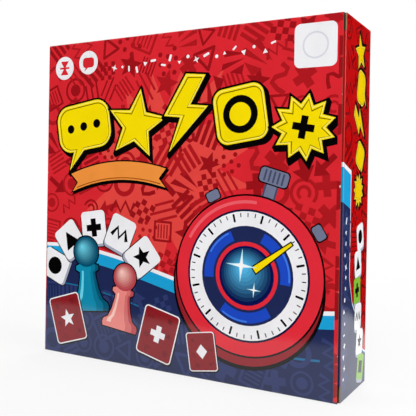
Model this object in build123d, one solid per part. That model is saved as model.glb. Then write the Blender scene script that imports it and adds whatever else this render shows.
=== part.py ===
from build123d import *
import math
import os

os.makedirs("parts", exist_ok=True)

# Word board game: a printed tuck-end carton that stands on its bottom edge, with
# a folded board fitment, an electronic letter wheel, a card deck and a leaflet.
# The origin is at the middle of the carton's bottom, the front faces -Y and the
# ends that open are at +X and -X. All sizes are in millimetres.

# Letter wheel
unit_radius = 107.5
unit_height = 50.0  # feet to the top of the dome
dome_rise = 8.0  # the dome's top over the face that the keys stand in
foot_stand = 1.5
wall = 2.0
floor_sheet = 3.2
parting_height = 26.0
parting_gap = 0.2
rim_rise = 1.5
rim_radius = 7.0
base_inset = 12.5
flare_inset = 6.0
flare_rise = 4.5
tongue_gap = 0.2
tongue_sheet = 1.7

# Carton and the room it leaves round the wheel
board = 1.0
width_room = 51.0
height_room = 53.0
depth_room = 15.0
crease_radius = 1.2
hinge_gap = 0.05
flap_gap = 0.25
tuck_gap = 0.3
front_setback = 0.6
end_trim = 0.4
slit_length = 12.0
slit_gap = 0.2
tuck_depth = 14.0
tuck_lean = 9.5  # degrees that the tuck leans in from square
tuck_side_clear = 3.0
tuck_corner = 7.0
tuck_step = 0.6
dust_depth = 44.0
dust_corner = 6.0
dust_back_slope = 0.62
dust_front_slope = 0.16
dust_front_clear = 0.9
dust_back_clear = 0.4
glue_flap = 16.0
glue_flap_taper = 12.0

# Folded board fitment
fitment_board = 0.8
fitment_clear = 0.3
fitment_end_clear = 0.8
collar_drop = 1.0  # from the wheel's face down to where the fitment grips its shoulder
collar_clear = 0.4
unit_side_room = 7.0
unit_top_room = 7.0
well_margin = 3.0
notch_radius = 10.0
notch_depth = 9.0

# Cards and leaflet
card_side = 55.0
card_corner = 4.0
deck_thickness = 12.6
card_clear = 0.6
band_width = 18.0
band_thickness = 0.3
leaflet_width = 148.0
leaflet_height = 205.0
leaflet_sheet = 0.3
leaflet_gap = 0.3

# Keys and their frame
key_letters = "abcdefghijlmnoprstuv"
rim_width = 9.5  # from the keys' outer ends to the outside
key_length = 27.0
key_web = 3.0  # housing left between two key slots
key_side_clear = 0.4
key_end_clear = 0.8
key_thickness = 2.6
key_rise = 0.6
key_corner = 2.5
key_bevel = 0.4
key_travel = 8.0  # degrees
lip_width = 0.6
lip_bevel = 0.5
barrel_radius = 1.5
barrel_inset = 1.6
barrel_clear = 0.08
barrel_drop = 3.8
barrel_end_clear = 0.6
frame_width = 7.0
frame_height = 4.0
rib_inset = 2.0

# Windows, dome button and spring
deck_band = 18.0  # from the windows to the keys' inner ends
window_width = 14.0
spoke_width = 9.0
window_clear = 0.3
window_sheet = 1.5
window_sink = 0.4
window_margin = 3.0
button_band = 11.0  # from the button's side to the windows
button_clear = 0.4
button_wall = 2.0
button_skirt = 7.0
button_flange = 2.0
flange_sheet = 1.2
button_shoulder = 1.0
button_travel = 3.0
stem_radius = 2.4
stem_clear = 0.2
spring_radius = 5.5
spring_wire = 1.0
spring_turns = 6
wire_sides = 8  # flats round a spring's wire
spring_top_gap = 0.2

# Reset button and ring
reset_width = 22.0
reset_height = 9.0
reset_level = 10.0
reset_travel = 3.2
reset_proud = 0.4  # how far the button stands out when it is pressed home
reset_clear = 0.3
reset_ratio = 0.75
reset_ring_inset = 8.0  # from the keys' outer ends to the middle of the ring
reset_ring_width = 3.0
reset_ring_height = 2.6
reset_ring_gap = 0.3
reset_leg_width = 10.0
reset_reach = 23.0
wedge_clear = 0.15
wedge_foot = 1.0
reset_spring_radius = 2.6
reset_spring_wire = 0.7
reset_spring_drop = 1.5
reset_spring_turns = 5

# Electronics and power
circuit_gap = 8.0  # from the board's edge to the screw bosses
circuit_thickness = 1.6
circuit_height = 22.0
chip_side = 14.0
chip_height = 1.2
chip_place = (-15.0, 19.0)
led_count = 6
led_radius = 2.5
led_height = 8.0
switch_side = 6.2
switch_height = 3.4
plunger_radius = 1.75
plunger_height = 0.8
speaker_radius = 14.0
speaker_height = 5.0
speaker_rim = 3.0
speaker_place = 30.0
grille_hole = 1.1
grille_ring = 8.0
cell_radius = 7.1
cell_length = 50.0
cell_tip = 1.5
cell_tip_radius = 2.6
cell_pitch = 15.6
cell_place = 28.0
cell_clear = 0.5
cell_lift = 0.3
contact_room = 3.2
contact_sheet = 0.5
contact_height = 11.0
contact_inset = 1.0
bay_wall = 1.5
door_overlap = 3.0
door_thickness = 2.0
door_clear = 0.3
door_tab = 5.0
door_screw_inset = 6.0
door_screw_head = 1.2
door_screw_length = 8.0
knob_width = 4.0
knob_length = 5.0
knob_travel = 3.0
knob_clear = 0.3
knob_reach = 1.2
power_inset = 10.6
power_body = 13.0
power_width = 6.0
power_height = 5.0

# Fasteners, bosses and feet
boss_radius = 4.0
boss_gap = 0.6
boss_split = 12.0
screw_radius = 1.5
screw_length = 12.0
screw_head_radius = 2.9
screw_head_height = 2.0
screw_seat = 6.0
screw_clear = 0.2
screw_bite = 0.2
thread_clear = 0.05
head_clear = 0.5
post_radius = 2.4
post_inset = 7.0
post_angles = (-10, 45, 135, 190)  # clear of the battery bay and the speaker
foot_radius = 7.0
foot_inset = 4.0
foot_recess = 0.8
foot_clear = 0.1

# Worked out from the sizes above
box_width = 2 * unit_radius + width_room
box_height = 2 * unit_radius + height_room
box_depth = unit_height + depth_room
half_width = box_width / 2
half_depth = box_depth / 2
hinge_x = half_width - board / 2
hinge_y = half_depth - board / 2
tuck_y = -half_depth + board + tuck_gap + board / 2
dust_x = half_width - board - flap_gap - board / 2
fitment_half = dust_x - board / 2 - fitment_end_clear
back_y = half_depth - board - fitment_clear
unit_x = -fitment_half + unit_side_room + unit_radius
unit_z = box_height - board - unit_top_room - unit_radius
floor_top = foot_stand + floor_sheet
deck_height = unit_height - dome_rise
rim_height = deck_height + rim_rise
collar_height = deck_height - collar_drop
key_count = len(key_letters)
key_pitch = 360 / key_count
first_key = key_pitch / 2 - 90
key_outer = unit_radius - rim_width
key_inner = key_outer - key_length
window_outer = key_inner - deck_band
window_inner = window_outer - window_width
button_radius = window_inner - button_band
barrel_height = deck_height - barrel_drop
barrel_axis = key_inner + barrel_inset
barrel_half = barrel_axis * math.tan(math.radians(key_pitch / 2)) - barrel_end_clear
saddle_base = barrel_height - frame_height
rib_outer = barrel_axis - rib_inset
rib_inner = rib_outer - wall
boss_circle = rib_inner - boss_gap - boss_radius
circuit_radius = boss_circle - boss_radius - circuit_gap
circuit_top = circuit_height + circuit_thickness
post_circle = circuit_radius - post_inset
base_radius = unit_radius - base_inset
foot_circle = base_radius - foot_inset - foot_radius
power_place = rib_inner - power_inset
reset_stand = reset_travel + reset_proud
reset_inner = unit_radius - reset_reach
reset_ring_radius = key_outer - reset_ring_inset
cut = 1.0  # how far a cutting solid runs past what it cuts


def save(node, shape):
    """Write one sub-part."""
    solids = shape.solids()
    export_step(solids[0] if len(solids) == 1 else Compound(children=solids), f"parts/{node}.step")


def in_carton(shape):
    """Turn a wheel piece, modelled with its keys up, to lie with its keys to the front."""
    return Location((unit_x, back_y, unit_z), (90, 0, 0)) * shape


def upright(radius, low, high, x=0, y=0):
    return Pos(x, y, (low + high) / 2) * Cylinder(radius, high - low)


def block(x, y, z):
    """A box from its lowest and highest value along each axis."""
    middle = [(a + b) / 2 for a, b in (x, y, z)]
    return Pos(*middle) * Box(x[1] - x[0], y[1] - y[0], z[1] - z[0])


def revolved(*edges):
    """A ring from profile edges drawn in the X-Z plane."""
    return revolve(make_face(Curve() + list(edges)), Axis.Z)


def tube(outer, inner, low, high):
    """An upright ring, from its radii and levels."""
    return upright(outer, low, high) - upright(inner, low - cut, high + cut)


def coil(radius, wire, length, turns):
    """A compression spring that stands on the X-Y plane."""
    path = Helix((length - wire) / turns, length - wire, radius)
    start = Plane(path @ 0, z_dir=path % 0)
    return Pos(0, 0, wire / 2) * sweep(start * RegularPolygon(wire / 2, wire_sides), path=path)


def around(count, radius, shape, start=0):
    """Copies of a shape on a circle, each turned to face outwards."""
    return [
        Rot(0, 0, start + i * 360 / count) * Pos(radius, 0, 0) * shape
        for i in range(count)
    ]


# Carton


def carton_sleeve():
    ring = RectangleRounded(box_depth, box_height, crease_radius)
    ring -= RectangleRounded(box_depth - 2 * board, box_height - 2 * board, crease_radius / 4)
    front_end = half_width - front_setback
    tube = extrude(Plane.YZ * Pos(0, box_height / 2) * ring, amount=front_end, both=True)
    panel_end = dust_x - board / 2 - hinge_gap
    back_end = hinge_x - board / 2 - hinge_gap
    for side in (-1, 1):
        ends = sorted((side * panel_end, side * half_width))
        tube -= block(ends, (-half_depth + board, half_depth - board), (-cut, box_height + cut))
        ends = sorted((side * back_end, side * half_width))
        tube -= block(ends, (-half_depth + board, half_depth + cut), (-cut, box_height + cut))
    inside = half_depth - board
    outline = Polyline(
        (-panel_end, board),
        (panel_end, board),
        (panel_end - glue_flap_taper, board + glue_flap),
        (-panel_end + glue_flap_taper, board + glue_flap),
        close=True,
    )
    flap = extrude(Plane((0, inside, 0), (1, 0, 0), (0, -1, 0)) * make_face(outline), board)
    return tube + flap


def end_panel(side):
    height = box_height - 2 * end_trim
    crease_y = tuck_y + board / 2 * (1 + math.sin(math.radians(tuck_lean)) + 0.1)
    edge_y = -half_depth + board + tuck_gap
    plate = block((-board / 2, board / 2), (edge_y, hinge_y), (0, height))
    plate += upright(board / 2, 0, height, 0, hinge_y)
    plate -= block((-board, board), (edge_y - cut, crease_y), (slit_length, height - slit_length))
    return Pos(side * hinge_x, 0, end_trim) * plate


def tuck_flap(side):
    root = box_height / 2 - end_trim - slit_length - slit_gap
    reach = box_height / 2 - tuck_side_clear
    step = board + tuck_step
    outline = Polyline(
        (0, -root),
        (step, -root),
        (step, -reach),
        (tuck_depth, -reach),
        (tuck_depth, reach),
        (step, reach),
        (step, root),
        (0, root),
        close=True,
    )
    sheet = make_face(outline)
    tips = sheet.vertices().filter_by_position(Axis.X, tuck_depth - 0.1, tuck_depth + 0.1)
    sheet = fillet(tips, tuck_corner)
    lean = math.radians(tuck_lean)
    inward = (-side * math.cos(lean), math.sin(lean), 0)
    across = (side * math.sin(lean), math.cos(lean), 0)
    plane = Plane((side * hinge_x, tuck_y, box_height / 2), inward, across)
    flap = extrude(plane * sheet, board / 2, both=True)
    return flap + Pos(side * hinge_x, tuck_y, box_height / 2) * Cylinder(board / 2, 2 * root)


def dust_flap(side, top):
    front = -half_depth + board + tuck_gap + board + dust_front_clear
    back = half_depth - board - dust_back_clear
    outline = Polyline(
        (front, 0),
        (front + dust_front_slope * dust_depth, -dust_depth),
        (back - dust_back_slope * dust_depth, -dust_depth),
        (back, 0),
        close=True,
    )
    sheet = make_face(outline)
    tips = sheet.vertices().filter_by_position(Axis.Y, -dust_depth - 0.1, -dust_depth + 0.1)
    sheet = fillet(tips, dust_corner)
    flap = extrude(Plane.YZ * sheet, board / 2, both=True)
    bead = Pos(0, (front + back) / 2, 0) * Rot(90, 0, 0) * Cylinder(board / 2, back - front)
    flap = flap + bead
    if not top:
        flap = mirror(flap, Plane.XY)
    height = box_height - board / 2 if top else board / 2
    return Pos(side * dust_x, 0, height) * flap


# Fitment, cards and leaflet


deck_face = back_y - collar_height - fitment_board
well_x = (fitment_half - well_margin - card_side - 2 * card_clear, fitment_half - well_margin)
well_z = (board + fitment_clear + fitment_board + well_margin, 0)
well_z = (well_z[0], well_z[0] + card_side + 2 * card_clear)
well_depth = deck_thickness + 2 * card_clear


def shoulder_radius(level):
    """The wheel's outside radius at a height on its rounded shoulder."""
    rise = level - (rim_height - rim_radius)
    return unit_radius - rim_radius + math.sqrt(rim_radius**2 - rise**2)


def insert_tray():
    length = (-fitment_half, fitment_half)
    front = -half_depth + board + fitment_clear
    back = back_y - board
    low = board + fitment_clear
    high = box_height - board - fitment_clear
    sheet = fitment_board
    deck = (deck_face, deck_face + sheet)
    tray = block(length, deck, (low, high))
    tray += block(length, (front, back), (low, low + sheet))
    tray += block(length, (front, back), (high - sheet, high))
    tray += block(length, (front, deck[1]), (low, low + 2 * sheet))
    tray += block(length, (front, deck[1]), (high - 2 * sheet, high))
    tray += block(
        (well_x[0] - sheet, well_x[1] + sheet),
        (deck[0], deck[1] + well_depth + sheet),
        (well_z[0] - sheet, well_z[1] + sheet),
    )
    tray -= block(well_x, (deck[0] - cut, deck[1] + well_depth), well_z)
    notch = Cylinder(notch_radius, notch_depth + 2 * cut)
    tray -= Pos(sum(well_x) / 2, deck[0] + notch_depth / 2, well_z[1]) * Rot(90, 0, 0) * notch
    grip = Cylinder(shoulder_radius(collar_height) + collar_clear, sheet + 2 * cut)
    return tray - Pos(unit_x, deck[0] + sheet / 2, unit_z) * Rot(90, 0, 0) * grip


def card_deck():
    sheet = RectangleRounded(card_side, card_side, card_corner)
    middle = (sum(well_x) / 2, sum(well_z) / 2 - card_clear / 2)
    bottom = deck_face + fitment_board + well_depth - card_clear / 2
    plane = Plane((middle[0], bottom, middle[1]), (1, 0, 0), (0, -1, 0))
    return extrude(plane * sheet, deck_thickness)


def card_band():
    middle = (sum(well_x) / 2, sum(well_z) / 2 - card_clear / 2)
    bottom = deck_face + fitment_board + well_depth - card_clear / 2
    size = (card_side / 2, deck_thickness / 2)
    centre = Pos(middle[0], bottom - size[1], middle[1])
    skin = band_thickness
    band = Box(2 * size[0] + 2 * skin, 2 * size[1] + 2 * skin, band_width)
    return centre * (band - Box(2 * size[0], 2 * size[1], band_width + cut))


def rules_leaflet():
    front = -half_depth + board + fitment_clear
    thick = 2 * leaflet_sheet + leaflet_gap
    low = board + fitment_clear + 2 * fitment_board + fitment_clear
    half = leaflet_width / 2
    body = block((-half, half), (front, front + thick), (low, low + leaflet_height))
    inner = (front + leaflet_sheet, front + leaflet_sheet + leaflet_gap)
    body -= block((-half + thick, half + cut), inner, (low - cut, low + leaflet_height + cut))
    spine = body.edges().filter_by(Axis.Z).group_by(Axis.X)[0]
    return fillet(spine, leaflet_sheet)


# Letter wheel housings


def upper_housing():
    top, low = deck_height, parting_height + parting_gap
    arc = (unit_radius - rim_radius, rim_height - rim_radius)
    inner_arc = rim_radius - wall
    under = top - wall
    meet = arc[0] + math.sqrt(inner_arc**2 - (under - arc[1]) ** 2)
    turn = math.sqrt(0.5)
    half_turn = math.atan2(under - arc[1], meet - arc[0]) / 2
    lip = key_outer + key_end_clear + lip_width
    bore = button_radius + button_clear
    outside = (
        Line((unit_radius, 0, low), (unit_radius, 0, arc[1])),
        ThreePointArc(
            (unit_radius, 0, arc[1]),
            (arc[0] + rim_radius * turn, 0, arc[1] + rim_radius * turn),
            (arc[0], 0, rim_height),
        ),
        Polyline((arc[0], 0, rim_height), (lip + lip_bevel, 0, rim_height), (lip, 0, top)),
        Line((lip, 0, top), (bore, 0, top)),
    )
    inside = (
        Polyline(
            (bore, 0, top),
            (bore, 0, under - wall),
            (bore + wall, 0, under - wall),
            (bore + wall, 0, under),
            (meet, 0, under),
        ),
        ThreePointArc(
            (meet, 0, under),
            (arc[0] + inner_arc * math.cos(half_turn), 0, arc[1] + inner_arc * math.sin(half_turn)),
            (unit_radius - wall, 0, arc[1]),
        ),
        Polyline((unit_radius - wall, 0, arc[1]), (unit_radius - wall, 0, low), (unit_radius, 0, low)),
    )
    shell = revolved(*outside, *inside)
    slot = Pos(0, 0, under - wall) * extrude(key_outline(slot=True), 3 * wall)
    shell -= around(key_count, 0, slot, first_key)
    shell -= Pos(0, 0, under - wall) * extrude(window_sectors(0), 3 * wall)
    boss = upright(boss_radius, boss_split, under)
    boss -= upright(screw_radius - screw_bite, boss_split - cut, boss_split + screw_length)
    shell += around(4, boss_circle, boss, 45)
    return shell


def window_sectors(shrink):
    """The three arc windows, or the pads that fill them when shrunk."""
    ring = Circle(window_outer - shrink) - Circle(window_inner + shrink)
    for i in range(3):
        spoke = Pos(window_outer / 2, 0) * Rectangle(window_outer * 1.1, spoke_width + 2 * shrink)
        ring -= Rot(0, 0, 90 + 120 * i) * spoke
    return ring


def key_outline(slot=False):
    """A key's rounded trapezoid, or the slot that it moves in."""
    half = math.tan(math.radians(key_pitch / 2))
    inner = key_inner - (key_side_clear if slot else 0)
    outer = key_outer + (key_end_clear if slot else 0)
    web = key_web / 2 + (0 if slot else key_side_clear)
    outline = Polyline(
        (inner, -inner * half + web),
        (outer, -outer * half + web),
        (outer, outer * half - web),
        (inner, inner * half - web),
        close=True,
    )
    sheet = make_face(outline)
    return fillet(sheet.vertices(), key_corner)


def lower_housing():
    top = parting_height
    flare = unit_radius - flare_inset
    tongue = unit_radius - wall - tongue_gap
    rise = foot_stand + flare_rise
    shell = revolved(
        Polyline(
            (0, 0, foot_stand),
            (base_radius, 0, foot_stand),
            (flare, 0, rise),
            (unit_radius - tongue_gap, 0, top),
            (tongue, 0, top),
            (tongue, 0, top + wall),
            (tongue - tongue_sheet, 0, top + wall),
            (tongue - tongue_sheet, 0, top - wall / 2),
            (flare - wall, 0, rise + wall / 2),
            (base_radius - wall / 4, 0, floor_top),
            (0, 0, floor_top),
            (0, 0, foot_stand),
        )
    )
    shell += tube(rib_outer, rib_inner, floor_top, saddle_base)
    low, high = battery_bay()
    wall_top = floor_top + 2 * cell_radius
    wide = (low[0] - bay_wall, high[0] + bay_wall)
    shell += block(wide, (low[1] - bay_wall, high[1] + bay_wall), (floor_top, wall_top))
    shell -= block((low[0], high[0]), (low[1], high[1]), (0, wall_top + cut))
    tab_y = high[1] + door_screw_inset
    shell += upright(boss_radius, floor_top, boss_split, 0, tab_y)
    shell -= door_blank(0, foot_stand + door_thickness)
    shell -= upright(screw_radius - screw_bite, 0, boss_split - wall / 2, 0, tab_y)
    boss = upright(boss_radius + screw_clear, floor_top, boss_split - parting_gap)
    shell += around(4, boss_circle, boss, 45)
    hole = upright(screw_radius + screw_clear, 0, boss_split)
    hole += upright(screw_head_radius + head_clear, 0, screw_seat)
    shell -= around(4, boss_circle, hole, 45)
    post = Pos(post_circle, 0, 0) * upright(post_radius, floor_top, circuit_height)
    shell += [Rot(0, 0, angle) * post for angle in post_angles]
    shell -= around(4, foot_circle, upright(foot_radius + foot_clear, 0, foot_stand + foot_recess), 45)
    grille = around(6, grille_ring, upright(grille_hole, 0, floor_top + cut))
    shell -= [Pos(0, speaker_place, 0) * hole for hole in grille]
    slot = block(
        (-knob_length / 2 - knob_clear, knob_length / 2 + knob_travel + knob_clear),
        (-knob_width / 2 - knob_clear, knob_width / 2 + knob_clear),
        (0, floor_top + cut),
    )
    shell -= Pos(-power_place, 0, 0) * slot
    window = block(
        (flare - 2 * rim_radius, unit_radius + cut),
        (-reset_width / 2 - reset_clear, reset_width / 2 + reset_clear),
        (reset_level - reset_clear, reset_level + reset_height + reset_clear),
    )
    return shell - window


def battery_bay():
    """Lowest and highest corner of the space for the cells and their contacts."""
    half = cell_length / 2 + contact_room
    depth = cell_pitch / 2 + cell_radius + cell_clear
    return (-half, -cell_place - depth), (half, -cell_place + depth)


# Keys, frame, windows and button


def letter_key():
    bottom = deck_height + key_rise - key_thickness
    cap = extrude(Pos(0, 0, bottom) * key_outline(), key_thickness)
    cap = chamfer(cap.faces().sort_by(Axis.Z)[-1].edges(), key_bevel)
    barrel = Pos(barrel_axis, 0, barrel_height) * Rot(90, 0, 0) * Cylinder(barrel_radius, 2 * barrel_half)
    neck = block(
        (barrel_axis - barrel_radius * 0.8, barrel_axis + barrel_radius * 0.8),
        (-barrel_half + key_web, barrel_half - key_web),
        (barrel_height, bottom + key_thickness / 4),
    )
    return cap + neck + barrel


def key_frame():
    outer = barrel_axis + frame_width / 2
    inner = barrel_axis - frame_width / 2
    corner = 1 / math.cos(math.radians(key_pitch / 2))
    ring = RegularPolygon(outer * corner, key_count) - RegularPolygon(inner * corner, key_count)
    frame = Pos(0, 0, saddle_base) * extrude(Rot(0, 0, first_key + key_pitch / 2) * ring, frame_height)
    long = 2 * (barrel_half + barrel_end_clear + frame_width)
    groove = Rot(90, 0, 0) * Cylinder(barrel_radius + barrel_clear, long)
    return frame - around(key_count, barrel_axis, Pos(0, 0, barrel_height) * groove, first_key)


def window_ring():
    under = deck_height - wall
    sheet = tube(window_outer + window_margin, window_inner - window_margin, under - window_sheet, under)
    return sheet + extrude(Pos(0, 0, under) * window_sectors(window_clear), wall - window_sink)


def timer_button():
    rim = deck_height + button_shoulder
    rise = unit_height - rim
    dome_radius = (button_radius**2 + rise**2) / (2 * rise)
    skirt_low = deck_height - button_skirt
    turn = math.asin(button_radius / dome_radius) / 2
    centre = unit_height - dome_radius
    inner_top = unit_height - button_wall
    inner_rim = rim - button_shoulder
    inner = button_radius - button_wall
    shell = revolved(
        Line((0, 0, inner_top), (0, 0, unit_height)),
        ThreePointArc(
            (0, 0, unit_height),
            (dome_radius * math.sin(turn), 0, centre + dome_radius * math.cos(turn)),
            (button_radius, 0, rim),
        ),
        Polyline(
            (button_radius, 0, rim),
            (button_radius, 0, skirt_low + flange_sheet),
            (button_radius + button_flange, 0, skirt_low + flange_sheet),
            (button_radius + button_flange, 0, skirt_low),
            (inner, 0, skirt_low),
            (inner, 0, inner_rim),
        ),
        ThreePointArc(
            (inner, 0, inner_rim),
            (inner / 2, 0, (inner_top * 3 + inner_rim) / 4),
            (0, 0, inner_top),
        ),
    )
    stem_low = circuit_top + switch_height + button_travel + stem_clear
    return shell + upright(stem_radius, stem_low, inner_top + button_wall / 4)


def button_spring():
    length = unit_height - button_wall - button_shoulder - spring_top_gap - circuit_top
    return Pos(0, 0, circuit_top) * coil(spring_radius - spring_wire / 2, spring_wire, length, spring_turns)


# Reset button and ring


def reset_ring_level():
    """Bottom of the ring at rest, so that a pressed key just clears its top."""
    arm = reset_ring_radius + reset_ring_width / 2 - barrel_axis
    drop = arm * math.sin(math.radians(key_travel))
    key_bottom = deck_height + key_rise - key_thickness
    return key_bottom - drop - reset_ring_gap - reset_ring_height


def reset_ring():
    low = reset_ring_level()
    reach = (reset_ring_radius - reset_ring_width / 2, reset_ring_radius + reset_ring_width / 2)
    ring = tube(reach[1], reach[0], low, low + reset_ring_height)
    half = reset_leg_width / 2
    leg = block(reach, (-half, half), (reset_level, low + reset_ring_height / 2))
    return ring + (leg - ramp(0))


def ramp(drop):
    """The solid under the wedge face that lifts the ring, lowered by drop."""
    start = reset_level + wedge_foot - drop
    run = reset_height / reset_ratio
    outline = Polyline(
        (reset_inner, 0),
        (unit_radius + reset_stand, 0),
        (unit_radius + reset_stand, start + reset_height),
        (reset_inner + run, start + reset_height),
        (reset_inner, start),
        close=True,
    )
    return extrude(Plane.XZ * make_face(outline), reset_width, both=True)


def reset_button():
    body = block(
        (reset_inner, unit_radius + reset_stand),
        (-reset_width / 2, reset_width / 2),
        (reset_level, reset_level + reset_height),
    )
    return body & ramp(wedge_clear)


def reset_spring():
    level = reset_level + reset_height / 2 - reset_spring_drop
    radius = reset_spring_radius - reset_spring_wire / 2
    spring = coil(radius, reset_spring_wire, reset_inner - rib_outer, reset_spring_turns)
    return Pos(rib_outer, 0, level) * Rot(0, 90, 0) * spring


# Electronics and power


def circuit_board():
    disc = upright(circuit_radius, circuit_height, circuit_top)
    chip = Pos(*chip_place, circuit_top + chip_height / 2) * Box(chip_side, chip_side, chip_height)
    return disc + chip


def leds():
    body = upright(led_radius, circuit_top, circuit_top + led_height - led_radius)
    body += Pos(0, 0, circuit_top + led_height - led_radius) * Sphere(led_radius)
    return Compound(children=around(led_count, (window_inner + window_outer) / 2, body, 0))


def tact_switch():
    side = switch_side / 2
    body = block((-side, side), (-side, side), (circuit_top, circuit_top + switch_height - plunger_height))
    return body + upright(plunger_radius, circuit_top, circuit_top + switch_height)


def speaker():
    rim = floor_top + speaker_rim
    cup = upright(speaker_radius, floor_top, rim, 0, speaker_place)
    return cup + upright(speaker_radius / 2, floor_top, floor_top + speaker_height, 0, speaker_place)


def battery_cells():
    level = foot_stand + door_thickness + cell_radius + cell_lift
    cells = []
    for side in (-1, 1):
        tip = Pos(0, 0, side * (cell_length - cell_tip) / 2) * Cylinder(cell_tip_radius, 2 * cell_tip)
        cell = Cylinder(cell_radius, cell_length - 2 * cell_tip) + tip
        cells.append(Pos(0, -cell_place + side * cell_pitch / 2, level) * Rot(0, 90, 0) * cell)
    return Compound(children=cells)


def battery_contacts():
    low, high = battery_bay()
    level = foot_stand + door_thickness + contact_inset
    plates = []
    for side, x in ((-1, low[0]), (1, high[0])):
        reach = sorted((x, x - side * contact_sheet))
        span = (low[1] + contact_inset, high[1] - contact_inset)
        plates.append(block(reach, span, (level, level + contact_height)))
    return Compound(children=plates)


def door_blank(clear, top):
    """The door's outline with its screw tab, or the rebate for it when clear is 0."""
    low, high = battery_bay()
    edge = door_overlap - clear
    bottom = foot_stand if clear else 0
    blank = block((low[0] - edge, high[0] + edge), (low[1] - edge, high[1] + edge), (bottom, top))
    return blank + upright(door_tab - clear, bottom, top, 0, high[1] + door_screw_inset)


def battery_door():
    tab_y = battery_bay()[1][1] + door_screw_inset
    door = door_blank(door_clear, foot_stand + door_thickness)
    door -= upright(screw_radius + screw_clear, 0, floor_top, 0, tab_y)
    return door - upright(screw_head_radius + screw_clear, 0, foot_stand + door_screw_head, 0, tab_y)


def battery_door_screw():
    tab_y = battery_bay()[1][1] + door_screw_inset
    head = upright(screw_head_radius, foot_stand, foot_stand + door_screw_head, 0, tab_y)
    shank = screw_radius - screw_bite - thread_clear
    return head + upright(shank, foot_stand, foot_stand + door_screw_length, 0, tab_y)


def power_switch_body():
    half = power_body / 2
    body = block((-half, half), (-power_width / 2, power_width / 2), (floor_top, floor_top + power_height))
    return Pos(-power_place + knob_travel / 2, 0, 0) * body


def power_switch_knob():
    side = (-knob_width / 2, knob_width / 2)
    top = floor_top - foot_clear
    knob = block((-knob_length / 2, knob_length / 2), side, (foot_stand - knob_reach, top))
    return Pos(-power_place, 0, 0) * knob


def housing_screws():
    low = screw_seat - screw_head_height
    shank = screw_radius - screw_bite - thread_clear
    screw = upright(screw_head_radius, low, screw_seat) + upright(shank, low, screw_seat + screw_length)
    return Compound(children=around(4, boss_circle, screw, 45))


def rubber_feet():
    foot = upright(foot_radius, 0, foot_stand + foot_recess)
    return Compound(children=around(4, foot_circle, foot, 45))


for side, hand in ((1, "right"), (-1, "left")):
    save(f"{hand}_end_panel", end_panel(side))
    save(f"{hand}_tuck_flap", tuck_flap(side))
    save(f"{hand}_top_dust_flap", dust_flap(side, True))
    save(f"{hand}_bottom_dust_flap", dust_flap(side, False))

for make in (carton_sleeve, insert_tray, card_deck, card_band, rules_leaflet):
    save(make.__name__, make())

wheel_pieces = (
    upper_housing, lower_housing, window_ring, timer_button, button_spring, tact_switch, key_frame,
    reset_ring, reset_button, reset_spring, circuit_board, leds, speaker, battery_contacts,
    battery_cells, battery_door, battery_door_screw, power_switch_body, power_switch_knob,
    housing_screws, rubber_feet,
)
for make in wheel_pieces:
    save(make.__name__, in_carton(make()))

for letter, key in zip(key_letters, around(key_count, 0, letter_key(), first_key)):
    save(f"letter_key_{letter}", in_carton(key))
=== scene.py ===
import math
import random
from functools import partial

import bpy
from mathutils import Matrix, Vector
from mathutils.geometry import delaunay_2d_cdt


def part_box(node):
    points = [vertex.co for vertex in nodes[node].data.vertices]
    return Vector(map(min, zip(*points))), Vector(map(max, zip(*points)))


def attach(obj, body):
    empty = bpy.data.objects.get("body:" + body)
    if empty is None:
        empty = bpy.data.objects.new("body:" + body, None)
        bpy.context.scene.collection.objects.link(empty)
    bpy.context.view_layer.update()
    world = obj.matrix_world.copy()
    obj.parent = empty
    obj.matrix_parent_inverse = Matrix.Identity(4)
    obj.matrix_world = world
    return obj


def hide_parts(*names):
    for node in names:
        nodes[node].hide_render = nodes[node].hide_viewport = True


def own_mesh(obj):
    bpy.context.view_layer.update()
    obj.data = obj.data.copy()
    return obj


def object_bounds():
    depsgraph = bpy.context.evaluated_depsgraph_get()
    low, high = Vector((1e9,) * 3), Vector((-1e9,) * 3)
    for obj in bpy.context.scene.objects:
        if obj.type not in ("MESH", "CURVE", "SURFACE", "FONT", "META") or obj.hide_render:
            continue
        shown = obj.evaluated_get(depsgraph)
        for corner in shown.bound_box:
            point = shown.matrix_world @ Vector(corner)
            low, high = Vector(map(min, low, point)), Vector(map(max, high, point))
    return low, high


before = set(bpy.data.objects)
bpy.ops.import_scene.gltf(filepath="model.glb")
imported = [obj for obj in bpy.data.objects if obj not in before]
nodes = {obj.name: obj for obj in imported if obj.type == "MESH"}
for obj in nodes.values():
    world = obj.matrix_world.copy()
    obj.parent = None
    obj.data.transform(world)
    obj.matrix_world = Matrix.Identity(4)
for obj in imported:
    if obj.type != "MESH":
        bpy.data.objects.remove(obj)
cadLow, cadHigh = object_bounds()
mm = 0.001
turn = math.tau
print("loaded the frame with", len(nodes), "nodes")

ink = {  # the colours of the print
    "red": "#DC2731", "doodle": "#9C1219", "doodleLine": "#B0181F", "splash": "#E64640",
    # The end panels' red, yellow and doodle inks are darker copies of the front's: partly their own print, partly
    # painted shade for the side that faces away from the lamps
    "endRedWithShade": "#BC080B", "endDoodle": "#8E0407", "card": "#8E1A22", "cardDoodle": "#6E1118",
    "yellow": "#FADF02", "endYellow": "#F0CD02", "yellowEdge": "#7E6A00", "yellowLight": "#FFF27A",
    "watch": "#E52B3A", "watchSide": "#96202A", "watchLight": "#F0606A",
    "band": "#1D49C4", "bandLight": "#3E7BEA", "domeDeep": "#07124F", "domeLight": "#58C4F6",
    "sparkle": "#BDF0FF", "sparkleCore": "#FFFFFF", "deep": "#0B1136", "glint": "#1C6E9C",
    "teal": "#0E8FB2", "tealDeep": "#04506E", "tealLight": "#6FD8EE",
    "coral": "#F08C86", "coralDeep": "#B8424C", "coralLight": "#FFD0C4",
    "orange": "#F3953F", "orangeEdge": "#A8520E", "green": "#86BE3C",
    "white": "#F4F4F7", "faint": "#D9DBE4", "tileSide": "#A9ADBF", "liner": "#EFE3DA", "black": "#070607",
    "sky": "#1AA3DA", "navy": "#1F2A56", "navyDoodle": "#2E3A6C", "steel": "#727994", "steelDark": "#454B66",
}


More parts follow.
